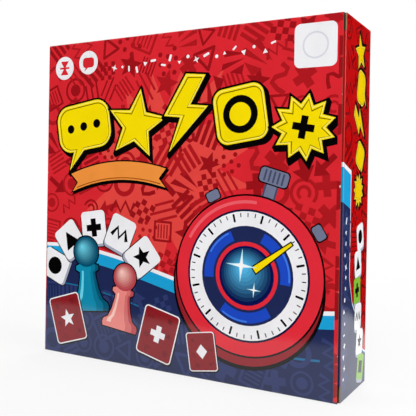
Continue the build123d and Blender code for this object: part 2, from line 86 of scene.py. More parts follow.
def linear(hexColour):  # sRGB hex to the linear values that shaders take
    values = [int(hexColour[i:i + 2], 16) / 255 for i in (1, 3, 5)]
    return tuple(v / 12.92 if v <= 0.04045 else ((v + 0.055) / 1.055) ** 2.4 for v in values)


def shade(hexColour):
    return (*linear(hexColour), 1.0)


def between(first, second, share):  # part of the way from one ink to another
    return tuple(a + (b - a) * share for a, b in zip(linear(ink[first]), linear(ink[second])))


# Outlines for the print, in millimetres

def polar(radius, angle, x=0.0, y=0.0):
    return x + radius * math.cos(angle), y + radius * math.sin(angle)


def looped(points):  # each point with the next, once round
    return zip(points, points[1:] + points[:1])


def moved(points, x, y=0.0):
    return [(a + x, b + y) for a, b in points]


def disc(radius, sides=40, x=0.0, y=0.0):
    return [polar(radius, turn * i / sides, x, y) for i in range(sides)]


def plate(width, height, corner, steps=7):  # a rounded rectangle
    sides = enumerate(((1, 1), (-1, 1), (-1, -1), (1, -1)))
    return [polar(corner, (quarter + i / steps) * turn / 4, right * (width / 2 - corner), up * (height / 2 - corner))
            for quarter, (right, up) in sides for i in range(steps + 1)]


def bubble(width, height, corner, tail):  # a speech bubble with its tail at the lower left
    points = plate(width, height, corner)
    low, last = -height / 2, len(points) * 3 // 4
    points[last:last] = [(-0.24 * width, low), (-0.36 * width, low - tail), (-0.04 * width, low)]
    return points


def starShape(tips, outer, inner, seed=None):
    rng = random.Random(seed or 0)
    reaches = [inner if i % 2 else outer * (1 if seed is None else rng.uniform(0.84, 1.1)) for i in range(2 * tips)]
    return [polar(reach, turn / 4 + turn * i / (2 * tips)) for i, reach in enumerate(reaches)]


def plus(reach, half):
    points = [(half, -reach), (half, -half), (reach, -half)]
    for _ in range(3):
        points += [(-y, x) for x, y in points[-3:]]
    return points


def bolt(size):
    points = [(-0.1, 1), (-0.62, -0.1), (-0.14, -0.1), (-0.36, -1), (0.62, 0.24), (0.12, 0.24), (0.46, 1)]
    return [(x * size, y * size) for x, y in points]


def grown(points, by, limit=2.2):  # an outline moved outwards
    found = []
    for i, point in enumerate(points):
        before, here, after = Vector(points[i - 1]), Vector(point), Vector(points[(i + 1) % len(points)])
        first, second = (here - before).normalized(), (after - here).normalized()
        middle = Vector((first.y + second.y, -first.x - second.x))
        found.append(tuple(here + middle.normalized() * by * min(2 / max(middle.length, 1e-6), limit)))
    return found


def line(path, width):  # an open path as an outline
    left, right = [], []
    for i, point in enumerate(path):
        along = (Vector(path[min(i + 1, len(path) - 1)]) - Vector(path[max(i - 1, 0)])).normalized()
        side = Vector((-along.y, along.x)) * width / 2
        left.append(tuple(Vector(point) + side))
        right.append(tuple(Vector(point) - side))
    return right + left[::-1]


def arcPath(radius, start, end, steps=9):
    return [polar(radius, math.radians(start + (end - start) * i / steps)) for i in range(steps + 1)]


def ringLines(radius, width, steps=9):  # a ring in two halves
    return [line(arcPath(radius, start, start + 184, steps), width) for start in (-2, 178)]


def stripes(width, height, count, share=0.5):  # lines across a block
    step = height / count
    return [moved(plate(width, step * share, 0.2, 1), 0, step * (i + 0.5) - height / 2) for i in range(count)]


def outlined(points, width):  # a closed outline drawn as separate strokes
    return [line([a, b], width) for a, b in looped(points)] + [disc(width / 2, 8, *point) for point in points]


# Motifs. A layer is a linear colour and an outline, and later layers lie on top.

def inked(*parts):  # outlines, each in the ink that was named before it
    layers = []
    for part in parts:
        if isinstance(part, str):
            colour = linear(ink[part])
        else:
            layers.append((colour, part))
    return layers


def placed(layers, x=0.0, y=0.0, angle=0.0, size=1.0):
    c, s = polar(size, math.radians(angle))
    return [(colour, [(x + c * a - s * b, y + s * a + c * b) for a, b in points]) for colour, points in layers]


def together(*rows):  # each row is a motif and its place: x, y, angle, size
    return [layer for motif, *place in rows for layer in placed(motif, *place)]


def block(points, *marks, face="yellow", outline=1.6, drop=(2.4, -3.0), stroke=1.0):  # a comic block, its side black
    rim = grown(points, outline)
    dropped = moved(rim, *drop)
    sides = [[a, b, d, c] for (a, b), (c, d) in zip(looped(rim), looped(dropped))]
    light, inside, edge, middle = [grown(points, -step * stroke, 1.5) for step in (0.9, 1.5, 2.2, 2.9)]
    return inked("black", *sides, dropped, rim, face, points, "yellowLight", light, face, inside,
                 "yellowEdge", moved(edge, 0.35 * stroke, -0.35 * stroke),
                 face, moved(middle, 0.55 * stroke, -0.55 * stroke), "black", *marks)


tileShapes = [
    [disc(7.6, 24)],
    [[(-8, -6.4), (8, -6.4), (0, 8)]],
    [plus(7.6, 2.7)],
    [line([(-8, -4), (-4, 4), (0, -4), (4, 4), (8, -4)], 3.4)],
    [starShape(5, 9.0, 3.9)],
    [plate(13, 13, 1.2)],
    [line(arcPath(5.6, 20, 340, 16), 3.6)],
    [[(0, -8.6), (7.2, 0), (0, 8.6), (-7.2, 0)]],
]
# Tonal drawings for the ground, each about 20 mm across
doodleShapes = [
    ringLines(8.5, 4.0, 12),
    outlined([(-9, -7), (9, -7), (0, 9)], 2.6),
    [line([(-11, -4), (-6.5, 4), (-2, -4), (2.5, 4), (7, -4), (11, 3)], 3.0)],
    [plus(9.5, 3.4)],
    stripes(17, 19, 5),
    [moved(plate(4.6, 4.6, 0.2, 1), 4.6 * i - 6.9, 4.6 * j - 6.9) for i in range(4) for j in range(4) if (i + j) % 2],
    [line(arcPath(9, 200, 480, 14), 2.4), line(arcPath(4.2, 200, 480, 10), 2.4)],
    [starShape(5, 11, 4.8)],
    [disc(2.1, 10, x, y) for x, y in ((-8, -6), (0, -7), (8, -5), (-5, 1), (3, 1), (9, 5), (-2, 8), (-10, 8))],
    [line(ends, 2.0) for ends in ([(-10, -10), (10, 10)], [(-10, -2), (2, 10)], [(-2, -10), (10, 2)])],
    [line([(0, -11), (0, 4)], 4.6), [(-8, 2), (8, 2), (0, 12)]],
    ringLines(9.5, 2.0, 12) + [disc(5.2, 18)],
    [line([(-10, 0), (-7, 5), (-3, 4), (0, -3), (4, -5), (8, 0), (10.5, 6)], 3.6)],
    outlined([(-9, -9), (9, -9), (9, 9), (-9, 9)], 2.2) + stripes(13, 13, 4, 0.4),
    [[(-10, -8), (10, -8), (10, -2)], [(-10, -4), (10, 4), (10, 10)], [(-10, 1), (2, 10), (-10, 10)]],
    [moved(plate(3.4, 20, 0.3, 1), 5.6 * i - 8.4) for i in range(4)],
]
pattern = {"cell": 19.5, "jitter": 3.2, "smallest": 0.74, "largest": 1.1, "seed": 7}


def scattered(left, right, low, high, tones, seed, keep=None):
    rng = random.Random(pattern["seed"] + seed)
    columns, rows = [max(1, round(reach / pattern["cell"])) for reach in (right - left, high - low)]
    layers = []
    for row in range(rows):
        for column in range(columns):
            jitter = [rng.uniform(-pattern["jitter"], pattern["jitter"]) for _ in range(2)]
            x = left + (right - left) * (column + 0.5) / columns + jitter[0]
            y = low + (high - low) * (row + 0.5) / rows + jitter[1]
            kind, angle = rng.randrange(len(doodleShapes)), rng.uniform(0, 360)
            size, tone = rng.uniform(pattern["smallest"], pattern["largest"]), rng.choice(tones)
            if keep is None or keep(x, y):
                layers += placed(inked(tone, *doodleShapes[kind]), x, y, angle, size)
    return layers


def confetti(count, seed, width, height):
    rng = random.Random(seed)
    kinds = [disc(1.3, 12), plate(4.2, 1.5, 0.5), starShape(4, 2.6, 0.9), [(-1.7, -1.2), (1.7, -1.2), (0, 1.9)]]
    layers = []
    for i in range(count):
        x = -width / 2 + width * (i + 0.5) / count
        layers += placed(inked("white", kinds[rng.randrange(4)]), x + rng.uniform(-1, 1),
                         rng.uniform(-height / 2, height / 2), rng.uniform(0, 360), rng.uniform(0.8, 1.3))
    return layers


def tile(kind, face="white", size=25.0):  # a blank playing tile with a plain black shape
    top = plate(size, size * 1.12, 3.6)
    side = moved(top, 0, -2.2)
    mark = placed(inked("black", *tileShapes[kind % len(tileShapes)]), size=size / 25)
    return inked("black", grown(side, 0.8), "tileSide", side, face, top) + mark


def card(kind):  # a dark card with a white border and a white shape
    layers = inked("black", moved(plate(41, 49, 4.2), 0.9, -1.1), "white", plate(40, 48, 4),
                   "card", plate(37.6, 45.6, 3))
    for i, (x, y) in enumerate(((-11, 14), (10, 16), (-12, -4), (12, -15), (-8, -17), (12, 2))):
        layers += placed(inked("cardDoodle", *doodleShapes[(i + kind) % len(doodleShapes)]), x, y, 40 * i, 0.3)
    return layers + placed(inked("white", *tileShapes[kind % len(tileShapes)]), size=1.05)


def shadedDisc(radius, edge, middle, x, y, steps=10):  # steps of colour towards a highlight
    return [(between(edge, middle, share ** 1.4), disc(radius * (1 - 0.9 * share), 30, x * share, y * share))
            for share in [i / (steps - 1) for i in range(steps)]]


def stopwatch():
    small = placed(inked("black", plate(13, 9, 2), "steel", plate(11, 7.4, 2)), 0, 66)
    layers = together(
        (small, 0, 0, -42), (small, 0, 0, 42),
        (inked("steelDark", plate(11, 20, 2), "steel", plate(8, 20, 2)), 0, 64),
        (inked("black", plate(25, 13, 3.4), "steel", plate(23, 11, 3)), 0, 77),
        *[(inked("steelDark", plate(1.5, 9, 0.7)), x, 77) for x in (-7.2, -3.6, 0, 3.6, 7.2)])
    layers += inked("black", disc(62.5, 60, 1.5, -8), "watchSide", disc(61, 60, 1, -6.5),
                    "black", disc(61.4, 60), "watch", disc(60, 60),
                    "watchLight", line(arcPath(55.5, 98, 168, 14), 2.4), "deep", disc(50, 52), "white", disc(48.4, 52))
    for i in range(48):
        mark, reach = (plate(0.8, 3.2, 0.3), 45.6) if i % 4 else (plate(1.7, 6.4, 0.6), 44)
        layers += placed(inked("black", moved(mark, 0, reach)), angle=7.5 * i)
    layers += inked("navy", disc(37.5, 44))
    for start in (8, 128, 248):
        layers += inked("band", line(arcPath(31.5, start, start + 74, 12), 8),
                        "bandLight", line(arcPath(34.4, start + 4, start + 40, 8), 1.4))
    layers += inked("watch", disc(25.6, 36)) + shadedDisc(22.5, "domeDeep", "domeLight", -4.5, 5.5)
    hand = [(-2.6, 8), (2.6, 8), (0.9, 44), (-0.9, 44)]
    layers += placed(inked("black", grown(hand, 1.0), "yellow", hand), angle=-38)
    for reach, x, y in ((13, -6, 6), (6, 9, -8)):
        glow = inked("sparkle", starShape(4, reach, reach * 0.16),
                     "sparkleCore", starShape(4, reach * 0.62, reach * 0.13), disc(reach * 0.17, 12))
        layers += placed(glow, x, y, 12)
    return layers


def pawn(colour):
    deep, light = colour + "Deep", colour + "Light"
    half = [(17, 0), (18, 3), (17, 6), (12.5, 9), (9.6, 16), (7.6, 25), (7.2, 29), (10.6, 31), (10.6, 34), (6.5, 35.5)]
    body, dark, darker = [half + [(x * share, y) for x, y in half[::-1]] for share in (-1, 0.35, 0.72)]
    bright = [(-x * 0.5, y + 1.2) for x, y in half[1:7]] + [(-x * 0.74, y + 1.2) for x, y in half[6:0:-1]]
    layers = inked("black", grown(body, 1.1), disc(12.6, 28, 0, 44.5), colour, body)
    layers += [(between(colour, deep, 0.45), dark), (between(colour, deep, 0.9), darker)] + inked(light, bright)
    return layers + placed(inked(deep, disc(11.5, 28)) + shadedDisc(11.5, deep, light, -3.6, 3.8, 9), 0, 44.5)


def ribbon(reach, rise, width):  # a bare curved ribbon with cut ends
    spread = [i / 7 - 1 for i in range(15)]
    low = [(reach * t, rise * (1 - t * t)) for t in spread]
    high = [(x * 1.02, y + width) for x, y in low]
    rim = low + [(reach - 6, width / 2)] + high[::-1] + [(6 - reach, width / 2)]
    border = grown(rim, 1.2)
    edge = [(reach * 0.9 * t, rise * (1 - (0.9 * t) ** 2) + 1.6) for t in spread]
    return inked("black", moved(border, 1.2, -1.6), border, "orange", rim, "orangeEdge", line(edge, 0.9))


cup = [(-4.6, -6.2), (4.6, -6.2), (0.6, 0), (-0.6, 0)]
hourglass = [cup, [(x, -y) for x, y in cup], plate(11, 1.8, 0.6)]


def tableEdge(x):  # height of the navy table top across the front
    return 66 + 17 * math.cos((x + 118) / 266 * turn * 0.62)


def tableTop(seed):
    reach, foot = 140, -3  # past the cut edges
    spread = range(-reach, reach + 1, 7)
    layers = []
    for colour, lift in (("white", 12.5), ("sky", 9.5), ("navy", 0.0)):
        layers += inked(colour, [(-reach, foot), (reach, foot)] + [(x, tableEdge(x) + lift) for x in spread[::-1]])
    glint = [(x, tableEdge(x) - 22) for x in spread]
    layers += inked("glint", line(glint[4:20], 1.2), line(glint[24:38], 1.6))
    return layers + scattered(-133, 133, 0, 84, ("navyDoodle",), seed, lambda x, y: y < tableEdge(x) - 12)


def freeEdge(x, width, seed):  # the end's ground runs on over the front's free edges
    low, high = sorted((x, x - math.copysign(width, x)))
    layers = inked("red", [(low, 1.5), (high, 1.5), (high, 262), (low, 262)])
    rng = random.Random(seed)
    level = 4.0
    while level < 250:
        long = rng.uniform(6, 24)
        if rng.random() < 0.5:
            layers += inked("doodle", [(low, level), (high, level + 2), (high, level + long - 1), (low, level + long)])
        level += long
    return layers


def frontArt():
    layers = tableTop(3) + together(
        (block(bubble(56, 40, 13, 15), *[disc(3.7, 18, x) for x in (-14, 0, 14)]), -92, 196, 9),
        (block(starShape(5, 29, 13.5)), -38, 196, -8),
        (block(bolt(31)), 8, 203, -6),
        (block(plate(42, 42, 9), *ringLines(11.5, 5.4, 14)), 55, 201, 9),
        (block(starShape(11, 24, 16.5), plus(8.2, 2.6)), 104, 190, -10),
        (ribbon(47, 8, 15), -56, 143, 3))
    for i, angle in enumerate((158, 128, 98, 68, 38)):
        x, y = polar(62, math.radians(angle))
        layers += placed(tile(i), -72 + x * 0.86, 54 + y * 0.92, angle - 90)
    layers += together(
        (pawn("teal"), -82, 40, 6, 1.12),
        (pawn("coral"), -52, 28, -7, 0.98),
        (stopwatch(), 62, 82, -16, 0.98),
        (card(4), -106, 31, 17, 0.84),
        (card(2), -14, 29, -14, 0.84),
        (card(7), 26, 21, 9, 0.62),
        (inked("white", plate(31, 31, 4.5), "faint", *ringLines(9, 1.2)), 112, 247),
        (inked("white", disc(10.5, 32), "red", *hourglass), -114, 247, 0, 0.95),
        (inked("white", disc(10.5, 32), "red", bubble(12.5, 9, 3, 3.4)), -88, 250, 0, 0.95),
        (confetti(19, 5, 150, 7), 10, 245, 3))
    return layers + freeEdge(133, 4.2, 4) + freeEdge(-133, 2.2, 9)


def backArt():
    window = inked("black", plate(76, 60, 5), "white", plate(74, 58, 5), "sky", plate(69, 53, 3))
    blocks = (starShape(5, 17, 8), bolt(18), plate(24, 24, 5), bubble(30, 22, 7, 8))
    return tableTop(5) + together(
        (window, -84, 178, -3), (window, 0, 178, 2), (window, 84, 178, -2),
        (stopwatch(), -84, 175, 4, 0.32),
        *[(tile(i + 3), -19 + 19 * i, 178 + 5 * (i % 2), 9 * (1 - i), 0.72) for i in range(3)],
        (card(1), 70, 178, 12, 0.85),
        (card(5), 96, 177, -9, 0.85),
        *[(block(points), -84 + 56 * i, 236, 8 - 5 * i) for i, points in enumerate(blocks)],
        (inked("white", plate(120, 44, 5)), -58, 112),
        *[(tile(i + 1, "green" if i % 2 else "white"), -100 + 28 * i, 113, 6 - 4 * i, 0.86) for i in range(4)],
        (inked("white", plate(64, 40, 3)), 84, 30),
        (pawn("teal"), 58, 90, 4, 0.9),
        (pawn("coral"), 98, 88, -6, 0.9))


def topArt():
    blocks = (starShape(5, 15, 7), bubble(27, 20, 6, 7), bolt(16), plate(21, 21, 4.5), starShape(11, 14, 9.6))
    return together(*[(block(points), -66 + 33 * i, 1, 10 - 6 * i) for i, points in enumerate(blocks)],
                    (confetti(9, 8, 52, 18), -106), (confetti(9, 9, 52, 18), 106))


def endArt():
    sweep = [(-5, 64), (2, 57), (8, 50), (12, 43), (15, 36), (20, 29), (26, 24), (34, 21)]  # the table's edge
    layers = []
    for colour, width, top, lift in (("white", 21.5, 166, 2.0), ("sky", 20.5, 163, 0.8), ("navy", 20.5, 139, 0)):
        low = [(-34, -2), (34, -2)] + moved(sweep[::-1], 0, lift)
        layers += inked(colour, low + [(-34 + width, 84), (-34 + width, top - 6), (-34, top)])
    layers += scattered(-33, -13, 4, 132, ("navyDoodle",), 12)
    blocks = (starShape(5, 13.5, 6.2), bubble(25, 19, 6, 6), bolt(15), plate(19, 19, 4.2), starShape(11, 12.5, 8.4))
    return layers + together(
        (confetti(15, 14, 118, 3), -23, 70, 90),
        *[(block(points, face="endYellow", outline=1.2, drop=(1.6, -2.0), stroke=0.55),
           6 + 3 * (i % 2), 246 - 25 * i, 84 - 7 * i) for i, points in enumerate(blocks)],
        *[(tile(i, "green" if i in (2, 5) else "white", 17.0),
           13 - 6 * math.sin(i * 0.9), 112 - 19.5 * i, 12 - 5 * i) for i in range(6)])


# Carton board: the print, a plain inside and the raw edges, folded as one closed sheet

carton = {
    "board": 1.0,
    "crease": 1.2,  # outside radius of a crease
    "creaseSteps": 8,
    "frontReach": 131.5,
    "backReach": 131.95,
    "lidReach": 130.7,  # top and bottom panels
    "endTrim": 0.4,
    "slit": 12.0,
    "tuckEdge": -30.07,
    "endEdge": -29.7,  # at the slits, where the end stands off the front
    "chips": 9,
    "seam": 0.02,  # the print stops this short of the glued seam
    "beyond": 140.0,  # past every cut edge
}
width, depth, height = [(b - a) / mm for a, b in zip(cadLow, cadHigh)]
crease = carton["crease"]
creaseArc = crease * turn / 4
lidFlat, panelFlat = depth - 2 * crease, height - 2 * crease
frontStart = lidFlat  # where the crease under the front panel begins
topStart = lidFlat + 2 * creaseArc + panelFlat
backStart = topStart + lidFlat
girth = 2 * (lidFlat + panelFlat) + 4 * creaseArc
frontZero = frontStart + creaseArc - crease
backZero = backStart + creaseArc + height - crease
halfBoard = carton["board"] / 2
endHinge, endArc = depth / 2 - halfBoard, halfBoard * turn / 4


def sleeveFold(x, along, outside):  # once round the box from the bottom's back edge
    inset, face = (0, 1) if outside else (carton["board"], -1)
    place, heading = Vector((depth / 2 - crease, 0)), Vector((-1, 0))
    for flat in (lidFlat, panelFlat, lidFlat, panelFlat):
        outward = Vector((-heading.y, heading.x))
        if along <= flat + 1e-9:
            spot = place + heading * along - outward * inset
            return (x, *spot), (0, *(outward * face))
        along -= flat
        centre = place + heading * flat - outward * crease
        if along <= creaseArc + 1e-9:
            normal = outward * math.cos(along / crease) + heading * math.sin(along / crease)
            return (x, *(centre + normal * (crease - inset))), (0, *(normal * face))
        along -= creaseArc
        place, heading = centre + heading * crease, -outward


def endFold(side):
    def fold(across, up, outside):
        angle = max(0.0, across - endHinge) / halfBoard
        reach = math.cos(angle) * (1 if outside else -1)
        x = side * (width / 2 - halfBoard + halfBoard * reach)
        return (x, min(across, endHinge) + halfBoard * math.sin(angle), up), (side * reach, math.sin(angle), 0)
    return fold


def holds(path, spot):  # whether an outline goes round a spot
    turns = 0
    for (x0, y0), (x1, y1) in looped(path):
        if (y0 > spot.y) != (y1 > spot.y) and spot.x < x0 + (spot.y - y0) * (x1 - x0) / (y1 - y0):
            turns += 1 if y1 > y0 else -1
    return turns != 0


def triangulated(outline, guides, layers):
    points, links, faces = [], [], []

    def loop(path):
        first = len(points)
        points.extend(Vector(p) for p in path)
        return list(range(first, len(points)))
    for path in [outline] + [path for _, path in layers]:
        area = sum(a[0] * b[1] - b[0] * a[1] for a, b in looped(path))
        faces.append(loop(path if area > 0 else path[::-1]))
    links = [loop(pair) for pair in guides]
    found, _, triangles, _, _, owners = delaunay_2d_cdt(points, links, faces, 0, 1e-4, True)[:6]
    kept = []
    for corners, inside in zip(triangles, owners):
        if 0 in inside:  # the triangulation now and then counts a layer far outside it, so each is tested
            centre = sum((found[i] for i in corners), Vector((0, 0))) / 3
            owner = next(i for i in sorted(inside, reverse=True) if i == 0 or holds(layers[i - 1][1], centre))
            kept.append((corners, owner))
    return found, kept


def addObject(name, data):
    added = bpy.data.objects.new(name, data)
    bpy.context.scene.collection.objects.link(added)
    return added


def addPiece(mesh, body, slot, *replaced):
    piece = addObject(mesh.name, mesh)
    if replaced:
        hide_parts(*replaced)
    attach(piece, body)
    return piece


def boardMesh(name, outline, guides, layers, ground, cut, fold, isSeam=None, isCrease=None, mirrored=False):
    found, kept = triangulated(outline, guides, layers)
    used = {}
    for triangle, _ in kept:
        for a, b in looped(triangle):
            used.setdefault((min(a, b), max(a, b)), []).append((a, b))
    rim = [pairs[0] for pairs in used.values() if len(pairs) == 1]
    back, backFaces = triangulated(outline, [*guides, *[(found[a], found[b]) for a, b in rim]], [])
    ground = linear(ink[ground])
    places, index, polygons, normals, slots, colours = [], {}, [], [], [], []

    def vertex(place):
        key = tuple(round(v, 3) for v in place)
        if key not in index:
            index[key] = len(places)
            places.append(tuple(v * mm for v in place))
        return index[key]

    def addFace(corners, slot, colour=ground):  # a corner is its place and its normal
        corners = [(vertex(place), normal) for place, normal in corners]
        corners = [corner for i, corner in enumerate(corners) if corner[0] != corners[i - 1][0]]
        if len({corner[0] for corner in corners}) < 3:
            return
        if mirrored:
            corners.reverse()
        polygons.append([corner[0] for corner in corners])
        normals.extend(corner[1] for corner in corners)
        slots.append(slot)
        colours.extend((*colour, 1.0) * len(corners))
    for triangle, owner in kept:
        addFace([fold(*found[i], True) for i in triangle], 0, layers[owner - 1][0] if owner else ground)
    for triangle, _ in backFaces:
        addFace([fold(*back[i], False) for i in triangle[::-1]], 1)
    for a, b in rim:
        first, second = found[a], found[b]
        if isSeam and isSeam(first, second):
            continue
        spots = [Vector(fold(*p, outside)[0])
                   for p, outside in ((second, True), (first, True), (first, False), (second, False))]
        normal = (spots[1] - spots[0]).cross(spots[2] - spots[1]).normalized() * (-1 if mirrored else 1)
        addFace([(place, tuple(normal)) for place in spots], 0 if isCrease and isCrease(first, second) else 2)
    mesh = bpy.data.meshes.new(name)
    mesh.from_pydata(places, [], polygons)
    mesh.attributes.new("ink", "FLOAT_COLOR", "CORNER").data.foreach_set("color", colours)
    mesh.polygons.foreach_set("material_index", slots)
    mesh.polygons.foreach_set("use_smooth", [True] * len(polygons))
    mesh.normals_split_custom_set(normals)
    mesh.validate()
    for material in (printFilm, greyBack, cut):
        mesh.materials.append(material)
    return mesh


# Materials

def per(size):  # a texture's scale, from the size of its features in millimetres
    return 1 / (size * mm)


def feed(node, inputs):  # a socket, or a node's first live output, is linked; a hex colour or other value is set
    for name, value in inputs.items():
        if isinstance(value, bpy.types.Node):
            value = next(output for output in value.outputs if output.enabled)
        if isinstance(value, bpy.types.NodeSocket):
            node.id_data.links.new(value, node.inputs[name])
        else:
            node.inputs[name].default_value = shade(value) if isinstance(value, str) else value


def addNode(tree, kind, inputs=None, **settings):
    family = next(start for start in ("ShaderNode", "GeometryNode", "") if hasattr(bpy.types, start + kind))
    node = tree.nodes.new(family + kind)
    for name, value in settings.items():
        setattr(node, name, value)
    feed(node, inputs or {})
    return node


def newMaterial(name):
    material = bpy.data.materials.new(name)
    material.use_nodes = True
    add = partial(addNode, material.node_tree)
    return material, add, material.node_tree.nodes["Principled BSDF"], add("TexCoord").outputs["Object"]


noiseSpan = {"From Min": 0.3, "From Max": 0.7}  # where most of a noise's values lie


def mottled(name, first, second, grain, roughness, bump, ior=1.5, **extra):
    # Colour and height that wander together, at a grain in millimetres
    material, add, surface, place = newMaterial(name)
    noise = add("TexNoise", {"Vector": place, "Scale": per(grain), "Detail": 4.0, "Roughness": 0.6})
    mix = add("Mix", {"Factor": noise, 6: first, 7: second}, data_type="RGBA")
    relief = add("Bump", {"Height": noise, "Distance": bump * mm})
    low, high = roughness
    rough = add("MapRange", {"Value": noise, **noiseSpan, "To Min": low, "To Max": high})
    feed(surface, {"Base Color": mix, "Roughness": rough, "IOR": ior, "Normal": relief,
                   **{key.replace("_", " "): value for key, value in extra.items()}})
    return material


film = {
    "cloud": 26.0,  # size of the slow change of tone, in millimetres
    # The pale edge patches are partly wear and partly a painted highlight on the creases
    "wearAndCreaseHighlight": (1.5, 0.25),  # from how near an edge it starts, to where it is full
    "wornAndHighlightPale": "#F0D8CE",
    "wearAndHighlightPatch": 5.0,
    "bow": 70.0,  # size of the panel's slow waves
    "bowHeight": 1.2,
    "fluteHeight": 0.05,
    "roughness": 0.1,
}


def printedBoard():
    # Four-colour litho print under a gloss film: flat strong ink, a clear sheen, and pale patches near the creases
    # that are partly worn ink and partly a painted highlight on the folds
    material, add, surface, place = newMaterial("lithoPrintGlossFilm")
    colour = add("Attribute", attribute_name="ink")
    tone = add("TexNoise", {"Vector": place, "Scale": per(film["cloud"]), "Detail": 3.0})
    value = add("MapRange", {"Value": tone, **noiseSpan, "To Min": 0.95, "To Max": 1.03})
    toned = add("HueSaturation", {"Color": colour, "Value": value})
    axes = add("SeparateXYZ", {"Vector": place}).outputs
    start, full = film["wearAndCreaseHighlight"]
    near = []
    for axis, middle, limit in (("X", 0, width / 2), ("Y", 0, depth / 2), ("Z", height / 2, height / 2)):
        offset = add("Math", {0: axes[axis], 1: middle * mm}, operation="SUBTRACT")
        size = add("Math", {0: offset}, operation="ABSOLUTE")
        span = {"From Min": (limit - start) * mm, "From Max": (limit - full) * mm}
        near.append(add("MapRange", {"Value": size, **span}))
    most, *others = [add("Math", {0: near[i], 1: near[j]}, operation="MULTIPLY") for i, j in ((0, 1), (0, 2), (1, 2))]
    for other in others:
        most = add("Math", {0: most, 1: other}, operation="MAXIMUM")
    # Patchy pale tone along the box's edges: worn ink, and a painted highlight on the creases
    wearAndHighlightPatch = add("TexNoise", {"Vector": place, "Scale": per(film["wearAndHighlightPatch"]), "Detail": 6.0})
    chance = add("MapRange", {"Value": wearAndHighlightPatch, "From Min": 0.5, "From Max": 0.74, "To Max": 0.3})
    wearAndHighlightShare = add("Math", {0: most, 1: chance}, operation="MULTIPLY")
    mix = add("Mix", {"Factor": wearAndHighlightShare, 6: toned, 7: film["wornAndHighlightPale"]}, data_type="RGBA")
    # Flutes under the liner stand 1.3 mm apart; they are drawn at 4.5 mm, which still shows at this size
    flat = add("VectorMath", {0: place, 1: (1, 1, 0.03)}, operation="MULTIPLY")
    flute = add("TexWave", {"Vector": flat, "Scale": 0.02 / mm, "Distortion": 1.2, "Detail Scale": 0.6},
                bands_direction="DIAGONAL")
    sway = add("TexNoise", {"Vector": place, "Scale": per(film["bow"])})
    ribs = add("Bump", {"Height": flute.outputs["Fac"], "Strength": 0.35, "Distance": film["fluteHeight"] * mm})
    bow = add("Bump", {"Height": sway, "Strength": 0.6, "Distance": film["bowHeight"] * mm, "Normal": ribs})
    feed(surface, {"Base Color": mix, "Roughness": film["roughness"], "IOR": 1.48, "Normal": bow})
    return material


def paintBands(add, level, bands):  # bands of flat colour from low to high
    ramp = add("ValToRGB", {"Fac": level})
    ramp.color_ramp.interpolation = "CONSTANT"
    stops = ramp.color_ramp.elements
    for i, (low, colour) in enumerate(bands):
        stop = stops.new(low) if i else stops[0]
        stop.position, stop.color = low, shade(colour)
    stops[-1].color = shade(bands[-1][1])
    return ramp


def flapBoard(name, outward, cut, bands):
    # The same board on a flap: glossy ink outside, the dull grey liner inside, and its cut ends painted dark brown for
    # the shade in the open flutes
    material, add, surface, place = newMaterial(name)
    normal = place.node.outputs["Normal"]
    facing = add("VectorMath", {0: normal, 1: outward}, operation="DOT_PRODUCT")
    printed = add("Math", {0: facing, 1: 0.15}, operation="GREATER_THAN")
    fibres = add("TexNoise", {"Vector": place, "Scale": per(1.4), "Detail": 6.0})
    liner = add("Mix", {"Factor": fibres, 6: "#8F877B", 7: "#BDB6AA"}, data_type="RGBA")
    sideways = add("SeparateXYZ", {"Vector": normal}).outputs[cut]
    sideways = add("Math", {0: sideways}, operation="ABSOLUTE")
    isCut = add("Math", {0: sideways, 1: 0.7}, operation="GREATER_THAN")
    # Cut ends: a dark brown that paints the shade in the open flutes
    linerOrShadedCut = add("Mix", {"Factor": isCut, 6: liner, 7: "#3A2E22"}, data_type="RGBA")
    level = add("SeparateXYZ", {"Vector": place}).outputs["Z"]
    level = add("Math", {0: level, 1: height * mm}, operation="DIVIDE")
    ramp = paintBands(add, level, [(low / height, ink[colour]) for low, colour in bands])
    mix = add("Mix", {"Factor": printed, 6: linerOrShadedCut, 7: ramp}, data_type="RGBA")
    rough = add("MapRange", {"Value": printed, "To Min": 0.85, "To Max": 0.16})
    grain = add("Bump", {"Height": fibres, "Strength": 0.3, "Distance": 0.05 * mm})
    feed(surface, {"Base Color": mix, "Roughness": rough, "Normal": grain})
    return material


printFilm = printedBoard()
# Grey recycled liner: dull, with darker fibres
greyBack = mottled("recycledGreyLiner", "#A09789", "#CFC8BC", 1.2, (0.8, 0.95), 0.05)
# Cut edges of the board: the sleeve's painted dark, for the shade in the open flutes and in the gap at its free edges,
# over the tan of the plies; the ends' tan where the plies run along the cut
shadedCutEdge = mottled("cutEdgePaintedShade", "#1E1510", "#6E553C", 0.7, (0.9, 0.97), 0.12)
rawEdge = mottled("cutBoardEdge", "#7A5C3E", "#BE9E72", 0.5, (0.85, 0.95), 0.08)
print("made the board materials")

beyond = carton["beyond"]
bottomGround = [(-beyond, 1.0), (beyond, 1.0), (beyond, frontZero), (-beyond, frontZero)]
sleeveLayers = [
    *placed(inked("splash", starShape(17, 88, 50, seed=4)), -12, frontZero + 158, 8),
    *scattered(-width / 2, width / 2, frontZero + 60, girth - 96, ("doodle", "doodleLine"), 1),
    *placed(frontArt(), 0, frontZero),
    *placed(topArt(), 0, topStart + lidFlat / 2),
    *placed(backArt(), 0, backZero, 180),
    *inked("navy", bottomGround),
    *scattered(-width / 2, width / 2, 8, lidFlat - 6, ("navyDoodle",), 6),
]
rng = random.Random(31)
for _ in range(carton["chips"]):  # torn bits of film that leave the white liner bare
    x, y = rng.choice((-1, 1)) * carton["frontReach"], rng.uniform(frontZero + 2, topStart + lidFlat)
    size = rng.uniform(0.3, 0.9)
    sleeveLayers += inked("liner", [
        (x + size * rng.uniform(0.5, 1.2) * math.cos(a), y + size * rng.uniform(0.5, 1.3) * math.sin(a))
        for a in (0.2, 1.3, 2.2, 3.4, 4.3, 5.4)])
